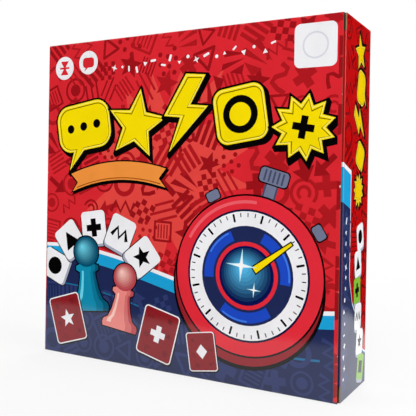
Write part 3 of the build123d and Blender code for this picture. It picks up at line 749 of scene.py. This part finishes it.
sleeveLayers = [(colour, [(x, min(max(s, carton["seam"]), girth - carton["seam"])) for x, s in points])
                for colour, points in sleeveLayers
                if max(s for _, s in points) > 0.5 and min(s for _, s in points) < girth - 0.5]

front, back, lid = carton["frontReach"], carton["backReach"], carton["lidReach"]
steps = ((0, lid), (frontStart, lid), (frontStart, front), (topStart, front), (topStart, lid), (backStart, lid),
         (backStart, back), (girth, back), (girth, lid))
sleeveOutline = [(x, s) for s, x in steps] + [(-x, s) for s, x in steps[::-1]]
levels = [start + creaseArc * i / carton["creaseSteps"]
          for start in (frontStart, topStart - creaseArc, backStart, girth - creaseArc)
          for i in range(carton["creaseSteps"] + 1)]
guides = [[(-beyond, s), (beyond, s)] for s in levels if s < girth - 0.01]


def onSeam(first, second):
    flat = abs(first[1] - second[1]) < 1e-3 and (first[1] < 0.01 or first[1] > girth - 0.01)
    return flat and max(abs(first[0]), abs(second[0])) < lid + 0.01


mesh = boardMesh("cartonSleeve", sleeveOutline, guides, sleeveLayers, "red", shadedCutEdge, sleeveFold, onSeam)
addPiece(mesh, "carton", "printed_board", "carton_sleeve")
print("printed and folded the sleeve,", len(mesh.polygons), "faces")

low, high, slit = carton["endTrim"], height - carton["endTrim"], carton["slit"]
edge, tuck = carton["endEdge"], carton["tuckEdge"]
endOutline = [(edge, low), (endHinge + endArc, low), (endHinge + endArc, high), (edge, high), (edge, high - slit),
              (tuck, high - slit), (tuck, low + slit), (edge, low + slit)]
endGuides = [[(endHinge + endArc * i / 4, s) for s in (-beyond, height + beyond)] for i in range(4)]
endLayers = scattered(-depth / 2, depth / 2, 2, height - 2, ("endDoodle",), 2) + endArt()
for hand, side in (("right", 1), ("left", -1)):
    mesh = boardMesh(f"{hand}EndPanel", endOutline, endGuides, endLayers, "endRedWithShade", rawEdge, endFold(side),
                     isCrease=lambda a, b: max(a[0], b[0]) < tuck + 0.01, mirrored=side < 0)
    addPiece(mesh, f"{hand}_end", "printed_board", f"{hand}_end_panel")
print("printed the end panels,", len(mesh.polygons), "faces each")


# Flaps and the moulded, metal and paper pieces inside

def middleOf(name):  # the middle of a node's box
    return sum(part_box(name), Vector()) / 2


def dress(material, *names):
    for name in names:
        for holder in nodes[name].material_slots:
            holder.material = material


flapBands = {"dust": ((0, "endRedWithShade"),), "tuck": ((0, "navy"), (137.8, "sky"), (161.8, "white"), (164.8, "endRedWithShade"))}
for hand, side in (("right", 1), ("left", -1)):
    dress(flapBoard(f"{hand}TuckFlapBoard", (0.6 * side, -0.8, 0), "Z", flapBands["tuck"]), f"{hand}_tuck_flap")
    for level, up in (("top", 1), ("bottom", -1)):
        dress(flapBoard(f"{hand}{level.title()}DustFlapBoard", (0.8 * side, 0, 0.6 * up), "Y", flapBands["dust"]),
              f"{hand}_{level}_dust_flap")


def mouldedPlastic(name, base, roughness, speckle=0.03):
    # Injection-moulded plastic: an even colour, a fine spark-eroded texture and softer shine where it varies
    darker = (*[v * (1 - speckle) for v in linear(base)], 1.0)
    material, add, surface, place = newMaterial(name)
    flow = add("TexNoise", {"Vector": place, "Scale": per(18)})
    spark = add("TexNoise", {"Vector": place, "Scale": per(0.35)})
    mix = add("Mix", {"Factor": flow, 6: darker, 7: base}, data_type="RGBA")
    rough = add("MapRange", {"Value": flow, **noiseSpan, "To Min": roughness - 0.04, "To Max": roughness + 0.04})
    relief = add("Bump", {"Height": spark, "Strength": 0.5, "Distance": 0.012 * mm})
    feed(surface, {"Base Color": mix, "Roughness": rough, "IOR": 1.54, "Normal": relief})
    return material


def drawnMetal(name, base, roughness, axis):
    # Drawn and plated metal: bright, with fine lines along the way that it was drawn
    material, add, surface, place = newMaterial(name)
    stretched = add("VectorMath", {0: place, 1: axis}, operation="MULTIPLY")
    lines = add("TexNoise", {"Vector": stretched, "Scale": per(0.2)})
    rough = add("MapRange", {"Value": lines, **noiseSpan, "To Min": roughness - 0.06, "To Max": roughness + 0.08})
    relief = add("Bump", {"Height": lines, "Strength": 0.4, "Distance": 0.01 * mm})
    feed(surface, {"Base Color": base, "Metallic": 1.0, "Roughness": rough, "Normal": relief})
    return material


def tintedLens(name, deep, bright, clear, reach):
    # Clear tinted polycarbonate: dark and glossy, a little lighter where the lamps behind it would shine through
    material, add, surface, place = newMaterial(name)
    away = add("VectorMath", {0: place, 1: middleOf("timer_button")}, operation="DISTANCE")
    share = add("MapRange", {"Value": away, "From Max": reach, "To Min": 1.0, "To Max": 0.0})
    haze = add("TexNoise", {"Vector": place, "Scale": per(20), "Detail": 1.0})
    faint = add("MapRange", {"Value": haze, **noiseSpan, "To Min": 0.42, "To Max": 0.55})
    amount = add("Math", {0: share, 1: faint}, operation="MULTIPLY")
    mix = add("Mix", {"Factor": amount, 6: deep, 7: bright}, data_type="RGBA")
    feed(surface, {"Base Color": mix, "Roughness": 0.07, "IOR": 1.58, "Transmission Weight": clear})
    return material


def circuitLaminate():
    # Paper laminate under green solder mask, faintly cloudy, with a black epoxy blob over the chip
    material = mottled("solderMaskedLaminate", "#154A2B", "#1C5834", 2.5, (0.28, 0.36), 0.01)
    colour = material.node_tree.nodes["Principled BSDF"].inputs["Base Color"]
    add = partial(addNode, material.node_tree)
    axes = add("SeparateXYZ", {"Vector": add("TexCoord").outputs["Object"]}).outputs
    blob = 1.15  # how far the chip's block is black, from its face back
    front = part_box("circuit_board")[0].y + blob * mm
    onChip = add("Math", {0: axes["Y"], 1: front}, operation="LESS_THAN")
    mix = add("Mix", {"Factor": onChip, 6: colour.links[0].from_socket, 7: "#101012"}, data_type="RGBA")
    feed(colour.node, {"Base Color": mix})
    return material


def cellJacket():
    # Shrink sleeve on a steel can: black with a copper-toned band, and bare zinc at the ends
    low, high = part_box("battery_cells")
    material, add, surface, place = newMaterial("shrinkSleeveCell")
    axes = add("SeparateXYZ", {"Vector": place}).outputs
    along = add("MapRange", {"Value": axes["X"], "From Min": low.x, "From Max": high.x})
    ramp = paintBands(add, along, ((0.0, "#C9CBCE"), (0.045, "#B8733A"), (0.27, "#17181B"), (0.955, "#C9CBCE")))
    smear = add("TexNoise", {"Vector": place, "Scale": per(6), "Detail": 3.0})
    rough = add("MapRange", {"Value": smear, "To Min": 0.2, "To Max": 0.34})
    feed(surface, {"Base Color": ramp, "Roughness": rough})
    return material


dress(mouldedPlastic("mouldedRedAbs", "#D81F27", 0.26), "upper_housing", "lower_housing", "battery_door",
      "reset_button")
dress(mouldedPlastic("mouldedWhiteAbs", "#F1F0EC", 0.3), *[name for name in nodes if name.startswith("letter_key_")])
dress(mouldedPlastic("mouldedBlackAbs", "#17171A", 0.42, 0.2), "key_frame", "reset_ring", "power_switch_knob",
      "power_switch_body", "speaker", "tact_switch")
dress(tintedLens("tintedRingLens", "#0A1236", "#122A6E", 0.25, 0.056), "window_ring")
dress(tintedLens("tintedDomeLens", "#081B5C", "#3E9BE8", 0.2, 0.03), "timer_button")
springWire = drawnMetal("platedSpringWire", "#C4C6CA", 0.26, (1, 1, 1))
dress(drawnMetal("nickelPlatedStrip", "#CFCDC6", 0.3, (1, 1, 0.05)), "battery_contacts")
dress(drawnMetal("zincPlatedScrew", "#B9BCC2", 0.34, (0.2, 1, 0.2)), "battery_door_screw", "housing_screws")
dress(circuitLaminate(), "circuit_board")
dress(cellJacket(), "battery_cells")
# Milky epoxy domes: half clear, with a soft glint
dress(mottled("milkyLedEpoxy", "#DDE8F4", "#F4F8FC", 3, (0.08, 0.14), 0.01, 1.53, Transmission_Weight=0.6), "leds")
# Moulded rubber: dull black with a fine bloom
dress(mottled("mouldedFootRubber", "#141414", "#262626", 0.8, (0.75, 0.9), 0.03), "rubber_feet")
# Uncoated fitment board: grey, fibrous, quite dull
dress(mottled("uncoatedFitmentBoard", "#9C968B", "#C6C0B5", 1.4, (0.85, 0.95), 0.06), "insert_tray")
# Uncoated papers: off-white with faint cloudiness from the pulp
dress(mottled("uncoatedBandPaper", "#E9E5D6", "#F6F3E8", 2.2, (0.8, 0.9), 0.02), "card_band")
dress(mottled("uncoatedLeafletPaper", "#EFEEE8", "#FAF9F5", 2.6, (0.78, 0.88), 0.02), "rules_leaflet")
print("dressed the pieces inside")

keys = {
    "letters": "abcdefghijlmnoprstuv",
    "start": -81.0,  # degrees from the right, counter-clockwise as the wheel is seen
    "circle": 84.5,  # radius of the letters' middles
    "size": 21.5,
    "boldness": 0.5,  # how far each stroke is thickened
    "film": 0.05,  # thickness of the pad-printed ink
    "drawn": {"m": [(-8.2, -7.6), (-5.2, -7.6), (-4.4, 1.6), (-1.3, -6.4), (1.3, -6.4), (4.4, 1.6), (5.2, -7.6),
                    (8.2, -7.6), (6.6, 7.6), (3.2, 7.6), (0, -1.4), (-3.2, 7.6), (-6.6, 7.6)]},  # a bold M closes up
}


def upToFront(mesh, place, angle=0.0):  # from lying flat to facing the front, with its place in the mesh
    stand = Matrix(((1, 0, 0), (0, 0, -1), (0, 1, 0))).to_4x4()
    mesh.transform(Matrix.Translation(place) @ stand @ Matrix.Rotation(math.radians(angle), 4, "Z"))


def plainMesh(holder, name):  # the evaluated shape of a curve or a modified mesh, whose holder then goes
    shape = bpy.data.meshes.new_from_object(holder.evaluated_get(bpy.context.evaluated_depsgraph_get()))
    source = holder.data
    bpy.data.objects.remove(holder)
    (bpy.data.meshes if isinstance(source, bpy.types.Mesh) else bpy.data.curves).remove(source)
    shape.name = name
    return shape


def letterCurve(letter):
    path = keys["drawn"].get(letter)
    curve = bpy.data.curves.new("letter", "CURVE" if path else "FONT")
    if path:
        curve.dimensions, curve.fill_mode = "2D", "BOTH"
        spline = curve.splines.new("POLY")
        spline.points.add(len(path) - 1)
        for point, (x, y) in zip(spline.points, path):
            point.co = (x * mm, y * mm, 0, 1)
        spline.use_cyclic_u = True
    else:
        curve.body, curve.size, curve.offset = letter.upper(), keys["size"] * mm, keys["boldness"] * mm
        curve.resolution_u = 7
    curve.extrude = keys["film"] * mm / 2
    return curve


def addLetters():
    # Pad-printed ink: flat black with a slight shine
    padInk = mottled("padPrintInk", "#08080A", "#101013", 1.5, (0.38, 0.46), 0.004)
    middle = middleOf("key_frame")
    for i, letter in enumerate(keys["letters"]):
        mesh = plainMesh(addObject("letter", letterCurve(letter)), f"keyLetter_{letter}")
        spread = [v.co for v in mesh.vertices]
        centre = [(min(c[a] for c in spread) + max(c[a] for c in spread)) / 2 for a in (0, 1)]
        mesh.transform(Matrix.Translation((-centre[0], -centre[1], 0)))
        angle = keys["start"] + i * 360 / len(keys["letters"])
        x, z = polar(keys["circle"] * mm, math.radians(angle), middle.x, middle.z)
        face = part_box(f"letter_key_{letter}")[0].y
        upToFront(mesh, (x, face - 0.4 * keys["film"] * mm, z), angle + 90)
        mesh.materials.clear()
        mesh.materials.append(padInk)
        addPiece(mesh, f"letter_key_{letter}", "black_abs")


addLetters()
print("printed the key letters")

springs = {  # towards is the way from the end that stands still to the end that is pressed
    "buttonSpring": {"node": "button_spring", "radius": 5.0, "wire": 1.0, "turns": 6, "travel": 3.0,
                     "joint": "press_timer_button", "towards": (0, -1, 0)},
    "resetSpring": {"node": "reset_spring", "radius": 2.25, "wire": 0.7, "turns": 5, "travel": 3.2,
                    "joint": "press_reset_button", "towards": (1, 0, 0)},
}


def newGeometryTree(name, **inputs):
    tree = bpy.data.node_groups.new(name, "GeometryNodeTree")
    tree.interface.new_socket("Geometry", in_out="OUTPUT", socket_type="NodeSocketGeometry")
    for label, kind in inputs.items():
        tree.interface.new_socket(label, in_out="INPUT", socket_type="NodeSocket" + kind)
    add = partial(addNode, tree)
    return add, add("NodeGroupInput").outputs


def finishTree(add, geometry, material):
    real = add("RealizeInstances", {"Geometry": geometry})
    painted = add("SetMaterial", {"Geometry": real, "Material": material})
    return add("NodeGroupOutput", {"Geometry": painted}).id_data


def grownMesh(tree, values, name, start=None):  # the tree's result as a plain mesh
    holder = addObject(name, start or bpy.data.meshes.new(name))
    modifier = holder.modifiers.new(name, "NODES")
    modifier.node_group = tree
    for socket in tree.interface.items_tree:
        if socket.in_out == "INPUT" and socket.name in values:
            modifier[socket.identifier] = values[socket.name]
    return plainMesh(holder, name)


def springTree():
    # A helix whose pitch closes up towards both ends, as a compression spring's does
    add, given = newGeometryTree("compressionSpring", Radius="Float", Wire="Float", Length="Float", Turns="Float",
                                 Material="Material")
    path = add("CurveSpiral", {
        "Resolution": 28, "Rotations": given["Turns"], "Start Radius": given["Radius"], "End Radius": given["Radius"],
        "Height": given["Length"]})
    axes = add("SeparateXYZ", {"Vector": add("InputPosition")}).outputs
    eased = add("MapRange", {"Value": axes["Z"], "From Max": given["Length"], "To Max": given["Length"]},
                interpolation_type="SMOOTHSTEP")
    level = add("Mix", {"Factor": 0.55, "A": axes["Z"], "B": eased}, data_type="FLOAT")
    spot = add("CombineXYZ", {"X": axes["X"], "Y": axes["Y"], "Z": level})
    closed = add("SetPosition", {"Geometry": path, "Position": spot})
    half = add("Math", {0: given["Wire"], 1: 0.5}, operation="MULTIPLY")
    ring = add("CurvePrimitiveCircle", {"Resolution": 10, "Radius": half})
    wire = add("CurveToMesh", {"Curve": closed, "Profile Curve": ring, "Fill Caps": True})
    smooth = add("SetShadeSmooth", {"Geometry": wire})
    return finishTree(add, smooth, given["Material"])


def addSprings():
    tree = springTree()
    for name, size in springs.items():
        low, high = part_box(size["node"])
        towards = Vector(size["towards"])
        length = abs((high - low).dot(towards))
        foot = (low + high) / 2 - towards * length / 2
        wire = size["wire"] * mm
        mesh = grownMesh(tree, {"Radius": size["radius"] * mm, "Wire": wire, "Length": length - wire,
                                "Turns": float(size["turns"]), "Material": springWire}, name)
        upright = Vector((0, 0, 1)).rotation_difference(towards).to_matrix().to_4x4()
        mesh.transform(Matrix.Translation(foot + towards * wire / 2) @ upright)
        piece = addPiece(mesh, "carton", "spring_steel", size["node"])
        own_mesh(piece)


addSprings()
print("wound the springs")

circuit = {
    "chip": (-15.0, 19.0),  # middle of the chip, from the board's middle
    "chipHeight": 1.2,
    "ledRadius": 2.5,
    "returnGap": 4.4,  # the ring that joins the lamps' other legs, outside them
    "width": 0.9,
    "copper": 0.06,  # with the solder mask over it
    "pad": 1.15,
    "solder": 0.35,
    # Where a track starts under the chip, and its stops: a lamp by its number from the right, or a place
    "tracks": (((5.6, 1.4), 0), ((5.6, 4.4), 1), ((-3.0, 5.6), 2), ((-5.6, 2.4), 3), ((-2.2, -5.6), 4),
               ((5.6, -1.6), (9.0, 6.0), 5), ((3.4, -5.6), (2.4, 4.3)), ((0.6, -5.6), (-4.3, 2.2)),
               ((-5.6, -1.2), (-31.0, -12.0)), ((-3.9, -4.8), (-28.0, -15.5)),
               ((0.0, 5.6), (-3.0, 37.0)), ((3.0, 5.6), (3.0, 34.5))),
}


def routed(start, end):  # straight out, across at 45 degrees and straight in, as a board maker draws a track
    (x0, y0), (x1, y1) = start, end
    slant = min(abs(x1 - x0), abs(y1 - y0))
    x, y = [math.copysign((abs(v) - slant) / 2, v) for v in (x1 - x0, y1 - y0)]
    return [(x0 + x, y0 + y), (x1 - x, y1 - y), end]


def trackTree():
    add, given = newGeometryTree("copperTracks", Paths="Geometry", Width="Float", Copper="Float", Material="Material")
    path = add("MeshToCurve", {"Mesh": given["Paths"]})
    level = add("SetCurveNormal", {"Curve": path}, mode="Z_UP")
    strip = add("CurvePrimitiveQuadrilateral", {"Width": given["Width"], "Height": given["Copper"]})
    copper = add("CurveToMesh", {"Curve": level, "Profile Curve": strip, "Fill Caps": True})
    flat = add("SetShadeSmooth", {"Geometry": copper, "Shade Smooth": False})
    return finishTree(add, flat, given["Material"])


def padTree():
    add, given = newGeometryTree("solderPads", Paths="Geometry", Pad="Float", Solder="Float", Material="Material")
    path = add("MeshToCurve", {"Mesh": given["Paths"]})
    ends = add("CurveEndpointSelection", {"Start Size": 0, "End Size": 1})
    tip = add("Math", {0: given["Pad"], 1: 0.35}, operation="MULTIPLY")
    joint = add("MeshCone", {"Vertices": 16, "Radius Top": tip, "Radius Bottom": given["Pad"],
                             "Depth": given["Solder"]})
    copies = add("InstanceOnPoints", {"Points": path, "Selection": ends, "Instance": joint})
    return finishTree(add, copies, given["Material"])


def addCircuit():
    middle, front = middleOf("circuit_board"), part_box("circuit_board")[0].y
    low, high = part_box("leds")
    reach = (high.x - low.x) / 2 / mm - circuit["ledRadius"]
    lamps = [polar(reach, math.radians(60 * i)) for i in range(6)]
    back = arcPath(reach + circuit["returnGap"], 0, 360, 72)
    paths = [back] + [[lamps[i], back[12 * i]] for i in range(6)]
    for start, *stops in circuit["tracks"]:
        path = moved([start], *circuit["chip"])
        for stop in stops:
            path += routed(path[-1], lamps[stop] if isinstance(stop, int) else stop)
        paths.append(path)
    points, edges = [], []
    for path in paths:
        edges += [(len(points) + i, len(points) + i + 1) for i in range(len(path) - 1)]
        points += [(x * mm, y * mm, 0) for x, y in path]
    # Copper under solder mask: paler and a little glossier than the laminate. Solder: bright and soft
    masked = mottled("maskedCopper", "#2F7F45", "#3B8E50", 3, (0.22, 0.3), 0.005)
    solder = mottled("tinnedSolder", "#B9BCBE", "#D3D5D6", 0.6, (0.24, 0.4), 0.02, Metallic=1.0)
    sizes = {name: circuit[name.lower()] * mm for name in ("Width", "Copper", "Pad", "Solder")}
    for name, tree, material, slot, sunk in (
            ("circuitTracks", trackTree(), masked, "circuit_laminate", sizes["Copper"] / 2),
            ("solderPads", padTree(), solder, "plated_screw", 0)):
        start = bpy.data.meshes.new(name)
        start.from_pydata(points, edges, [])
        mesh = grownMesh(tree, {**sizes, "Material": material}, name, start)
        upToFront(mesh, (middle.x, front + circuit["chipHeight"] * mm - sunk, middle.z))
        addPiece(mesh, "carton", slot)
        print(name, len(mesh.polygons), "faces")


addCircuit()

cards = {"count": 36, "side": 54.6, "corner": 4.0, "sheet": 0.33, "pitch": 0.35, "jitter": 0.18, "seed": 5,
         "border": 1.9}


def playingCard():
    # Varnished card: white border, dark red field with tonal dots, and white paper at its cut edges
    material, add, surface, place = newMaterial("varnishedCard")
    offset = add("VectorMath", {0: place, 1: middleOf("card_deck")}, operation="SUBTRACT")
    size = add("VectorMath", {0: offset}, operation="ABSOLUTE")
    axes = add("SeparateXYZ", {"Vector": size}).outputs
    farthest = add("Math", {0: axes["X"], 1: axes["Z"]}, operation="MAXIMUM")
    field = (cards["side"] / 2 - cards["border"]) * mm
    inside = add("Math", {0: farthest, 1: field}, operation="LESS_THAN")
    facing = add("SeparateXYZ", {"Vector": place.node.outputs["Normal"]}).outputs["Y"]
    facing = add("Math", {0: facing}, operation="ABSOLUTE")
    onFace = add("Math", {0: facing, 1: 0.7}, operation="GREATER_THAN")
    printed = add("Math", {0: inside, 1: onFace}, operation="MULTIPLY")
    dots = add("TexVoronoi", {"Vector": place, "Scale": per(7)})
    dark = add("Math", {0: dots, 1: 0.3}, operation="LESS_THAN")
    dotted = add("Mix", {"Factor": dark, 6: ink["card"], 7: ink["cardDoodle"]}, data_type="RGBA")
    mix = add("Mix", {"Factor": printed, 6: "#F1EFEA", 7: dotted}, data_type="RGBA")
    rough = add("MapRange", {"Value": onFace, "To Min": 0.8, "To Max": 0.3})
    feed(surface, {"Base Color": mix, "Roughness": rough})
    return material


def cardStackTree():
    add, given = newGeometryTree("cardStack", Count="Int", Side="Float", Corner="Float", Sheet="Float", Pitch="Float",
                                 Jitter="Float", Seed="Int", Material="Material")
    square = add("CurvePrimitiveQuadrilateral", {"Width": given["Side"], "Height": given["Side"]})
    rounded = add("FilletCurve", {"Curve": square, "Radius": given["Corner"], "Count": 4}, mode="POLY")
    base = add("FillCurve", {"Curve": rounded}, mode="NGONS")
    body = add("ExtrudeMesh", {"Mesh": base, "Offset Scale": given["Sheet"], "Individual": False})
    joined = add("JoinGeometry", {"Geometry": body})
    feed(joined, {"Geometry": add("FlipFaces", {"Mesh": base})})
    sheet = add("MergeByDistance", {"Geometry": joined, "Distance": 0.01 * mm})
    step = add("CombineXYZ", {"Z": given["Pitch"]})
    row = add("MeshLine", {"Count": given["Count"], "Offset": step}, mode="OFFSET")
    back = add("Math", {0: given["Jitter"], 1: -1.0}, operation="MULTIPLY")
    lowest = add("CombineXYZ", {"X": back, "Y": back})
    highest = add("CombineXYZ", {"X": given["Jitter"], "Y": given["Jitter"]})
    shift = add("FunctionNodeRandomValue", {0: lowest, 1: highest, "Seed": given["Seed"]}, data_type="FLOAT_VECTOR")
    shifted = add("SetPosition", {"Geometry": row, "Offset": shift})
    copies = add("InstanceOnPoints", {"Points": shifted, "Instance": sheet})
    return finishTree(add, copies, given["Material"])


def addCardStack():
    values = {"Count": cards["count"], "Seed": cards["seed"], "Material": playingCard()}
    values |= {name: cards[name.lower()] * mm for name in ("Side", "Corner", "Sheet", "Pitch", "Jitter")}
    mesh = grownMesh(cardStackTree(), values, "cardStack")
    middle, back = middleOf("card_deck"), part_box("card_deck")[1].y
    upToFront(mesh, (middle.x, back - 0.01 * mm, middle.z))
    addPiece(mesh, "carton", "card_stock", "card_deck")
    print("stacked the cards,", len(mesh.polygons), "faces")


addCardStack()

# Camera, floor and light

view = {
    "place": (0.26542, -0.47183, 0.1499),  # metres
    "yaw": 30.307,  # degrees to the left of straight back
    "pitch": -0.272,
    "roll": 0.971,
    "lens": 56.85,  # millimetres, on a 36 mm sensor
    "shift": (0.0559, -0.0543),
}


def addCamera():
    data = bpy.data.cameras.new("camera")
    data.lens, data.sensor_width = view["lens"], 36.0
    data.shift_x, data.shift_y = view["shift"]
    data.clip_start, data.clip_end = 0.01, 20.0
    yaw, pitch, roll = [Matrix.Rotation(math.radians(angle), 4, axis) for angle, axis in
                        ((view["yaw"], "Z"), (90 + view["pitch"], "X"), (view["roll"], "Z"))]
    camera = addObject("camera", data)
    camera.matrix_world = Matrix.Translation(view["place"]) @ yaw @ pitch @ roll
    bpy.context.scene.camera = camera


studio = {
    "floorSide": 8.0,  # metres
    "floor": "#F2F2F2",
    "shadow": 0.22,  # share of the shaded floor that cameras see near the box
    "shadowReach": (0.25, 0.75),  # metres from the box over which it fades to white
    "ambient": 0.42,
    "lamps": (  # name, place, size, power
        ("frontLamp", (0.5, -1.5, 1.5), 1.2, 16.0),
        ("fillLamp", (-1.5, -0.9, 1.6), 1.0, 7.0),
        ("sideLamp", (1.9, 0.05, 0.9), 0.9, 22.0),
        ("backLamp", (-0.3, 1.8, 1.4), 1.2, 13.0),
    ),
    "cards": (  # black cards that only reflections show: the ends of the foot, and the height
        ("endCard", (0.156, 0.158), (0.350, 0.540), 0.8),
        ("frontCard", (-0.9, -0.2), (0.2, -0.2), 0.9),
    ),
}


def raysSeen(add):  # the rays that meet the background as plain white
    rays = add("LightPath").outputs
    seen = add("Math", {0: rays["Is Camera Ray"], 1: rays["Is Glossy Ray"]}, operation="MAXIMUM")
    return add("Math", {0: seen, 1: rays["Is Transmission Ray"]}, operation="MAXIMUM")


def addScreen(name, corners, material):
    mesh = bpy.data.meshes.new(name)
    mesh.from_pydata(corners, [], [(0, 1, 2, 3)])
    mesh.materials.append(material)
    screen = addObject(name, mesh)
    return screen


def addLamps():
    for name, place, size, power in studio["lamps"]:
        data = bpy.data.lights.new(name, "AREA")
        data.shape, data.size, data.energy = "DISK", size, power
        lamp = addObject(name, data)
        lamp.location = place
        aim = Vector((0, 0, height / 2 * mm)) - lamp.location
        lamp.rotation_euler = aim.to_track_quat("-Z", "Y").to_euler()


def addFloor():
    # Pale matt paper, white to the camera and to reflections apart from a share of the box's own shadow
    material, add, surface, place = newMaterial("paleStudioFloor")
    feed(surface, {"Base Color": studio["floor"], "Roughness": 0.9, "Specular IOR Level": 0.1})
    distance = add("VectorMath", {0: place}, operation="LENGTH")
    near, far = studio["shadowReach"]
    whiteness = add("MapRange", {
        "Value": distance, "From Min": near, "From Max": far, "To Min": 1 - studio["shadow"]})
    share = add("Math", {0: raysSeen(add), 1: whiteness}, operation="MULTIPLY")
    white = add("Emission")
    mix = add("MixShader", {0: share, 1: surface, 2: white})
    feed(material.node_tree.nodes["Material Output"], {"Surface": mix})
    half = studio["floorSide"] / 2
    addScreen("floor", [(x * half, y * half, -0.1 * mm) for x, y in ((-1, -1), (1, -1), (1, 1), (-1, 1))], material)


def addBlackCards():
    for name, (x0, y0), (x1, y1), top in studio["cards"]:
        # Black flocked card: it swallows the light, so what it shows in the gloss is dark
        material, _, surface, _ = newMaterial("blackFlockedCard")
        feed(surface, {"Base Color": (0, 0, 0, 1), "Roughness": 1.0, "Specular IOR Level": 0.0})
        screen = addScreen(name, [(x0, y0, 0), (x1, y1, 0), (x1, y1, top), (x0, y0, top)], material)
        for ray in ("camera", "diffuse", "transmission", "volume_scatter", "shadow"):
            setattr(screen, "visible_" + ray, False)


def addWorld():
    world = bpy.data.worlds.new("studio")
    world.use_nodes = True
    bpy.context.scene.world = world
    tree = world.node_tree
    add = partial(addNode, tree)
    strength = add("MapRange", {"Value": raysSeen(add), "To Min": studio["ambient"]})
    feed(tree.nodes["Background"], {"Color": (1, 1, 1, 1), "Strength": strength})


addCamera()
addLamps()
addFloor()
addBlackCards()
addWorld()
bpy.context.scene.view_settings.view_transform = "Standard"
print("set the camera, floor and lamps")
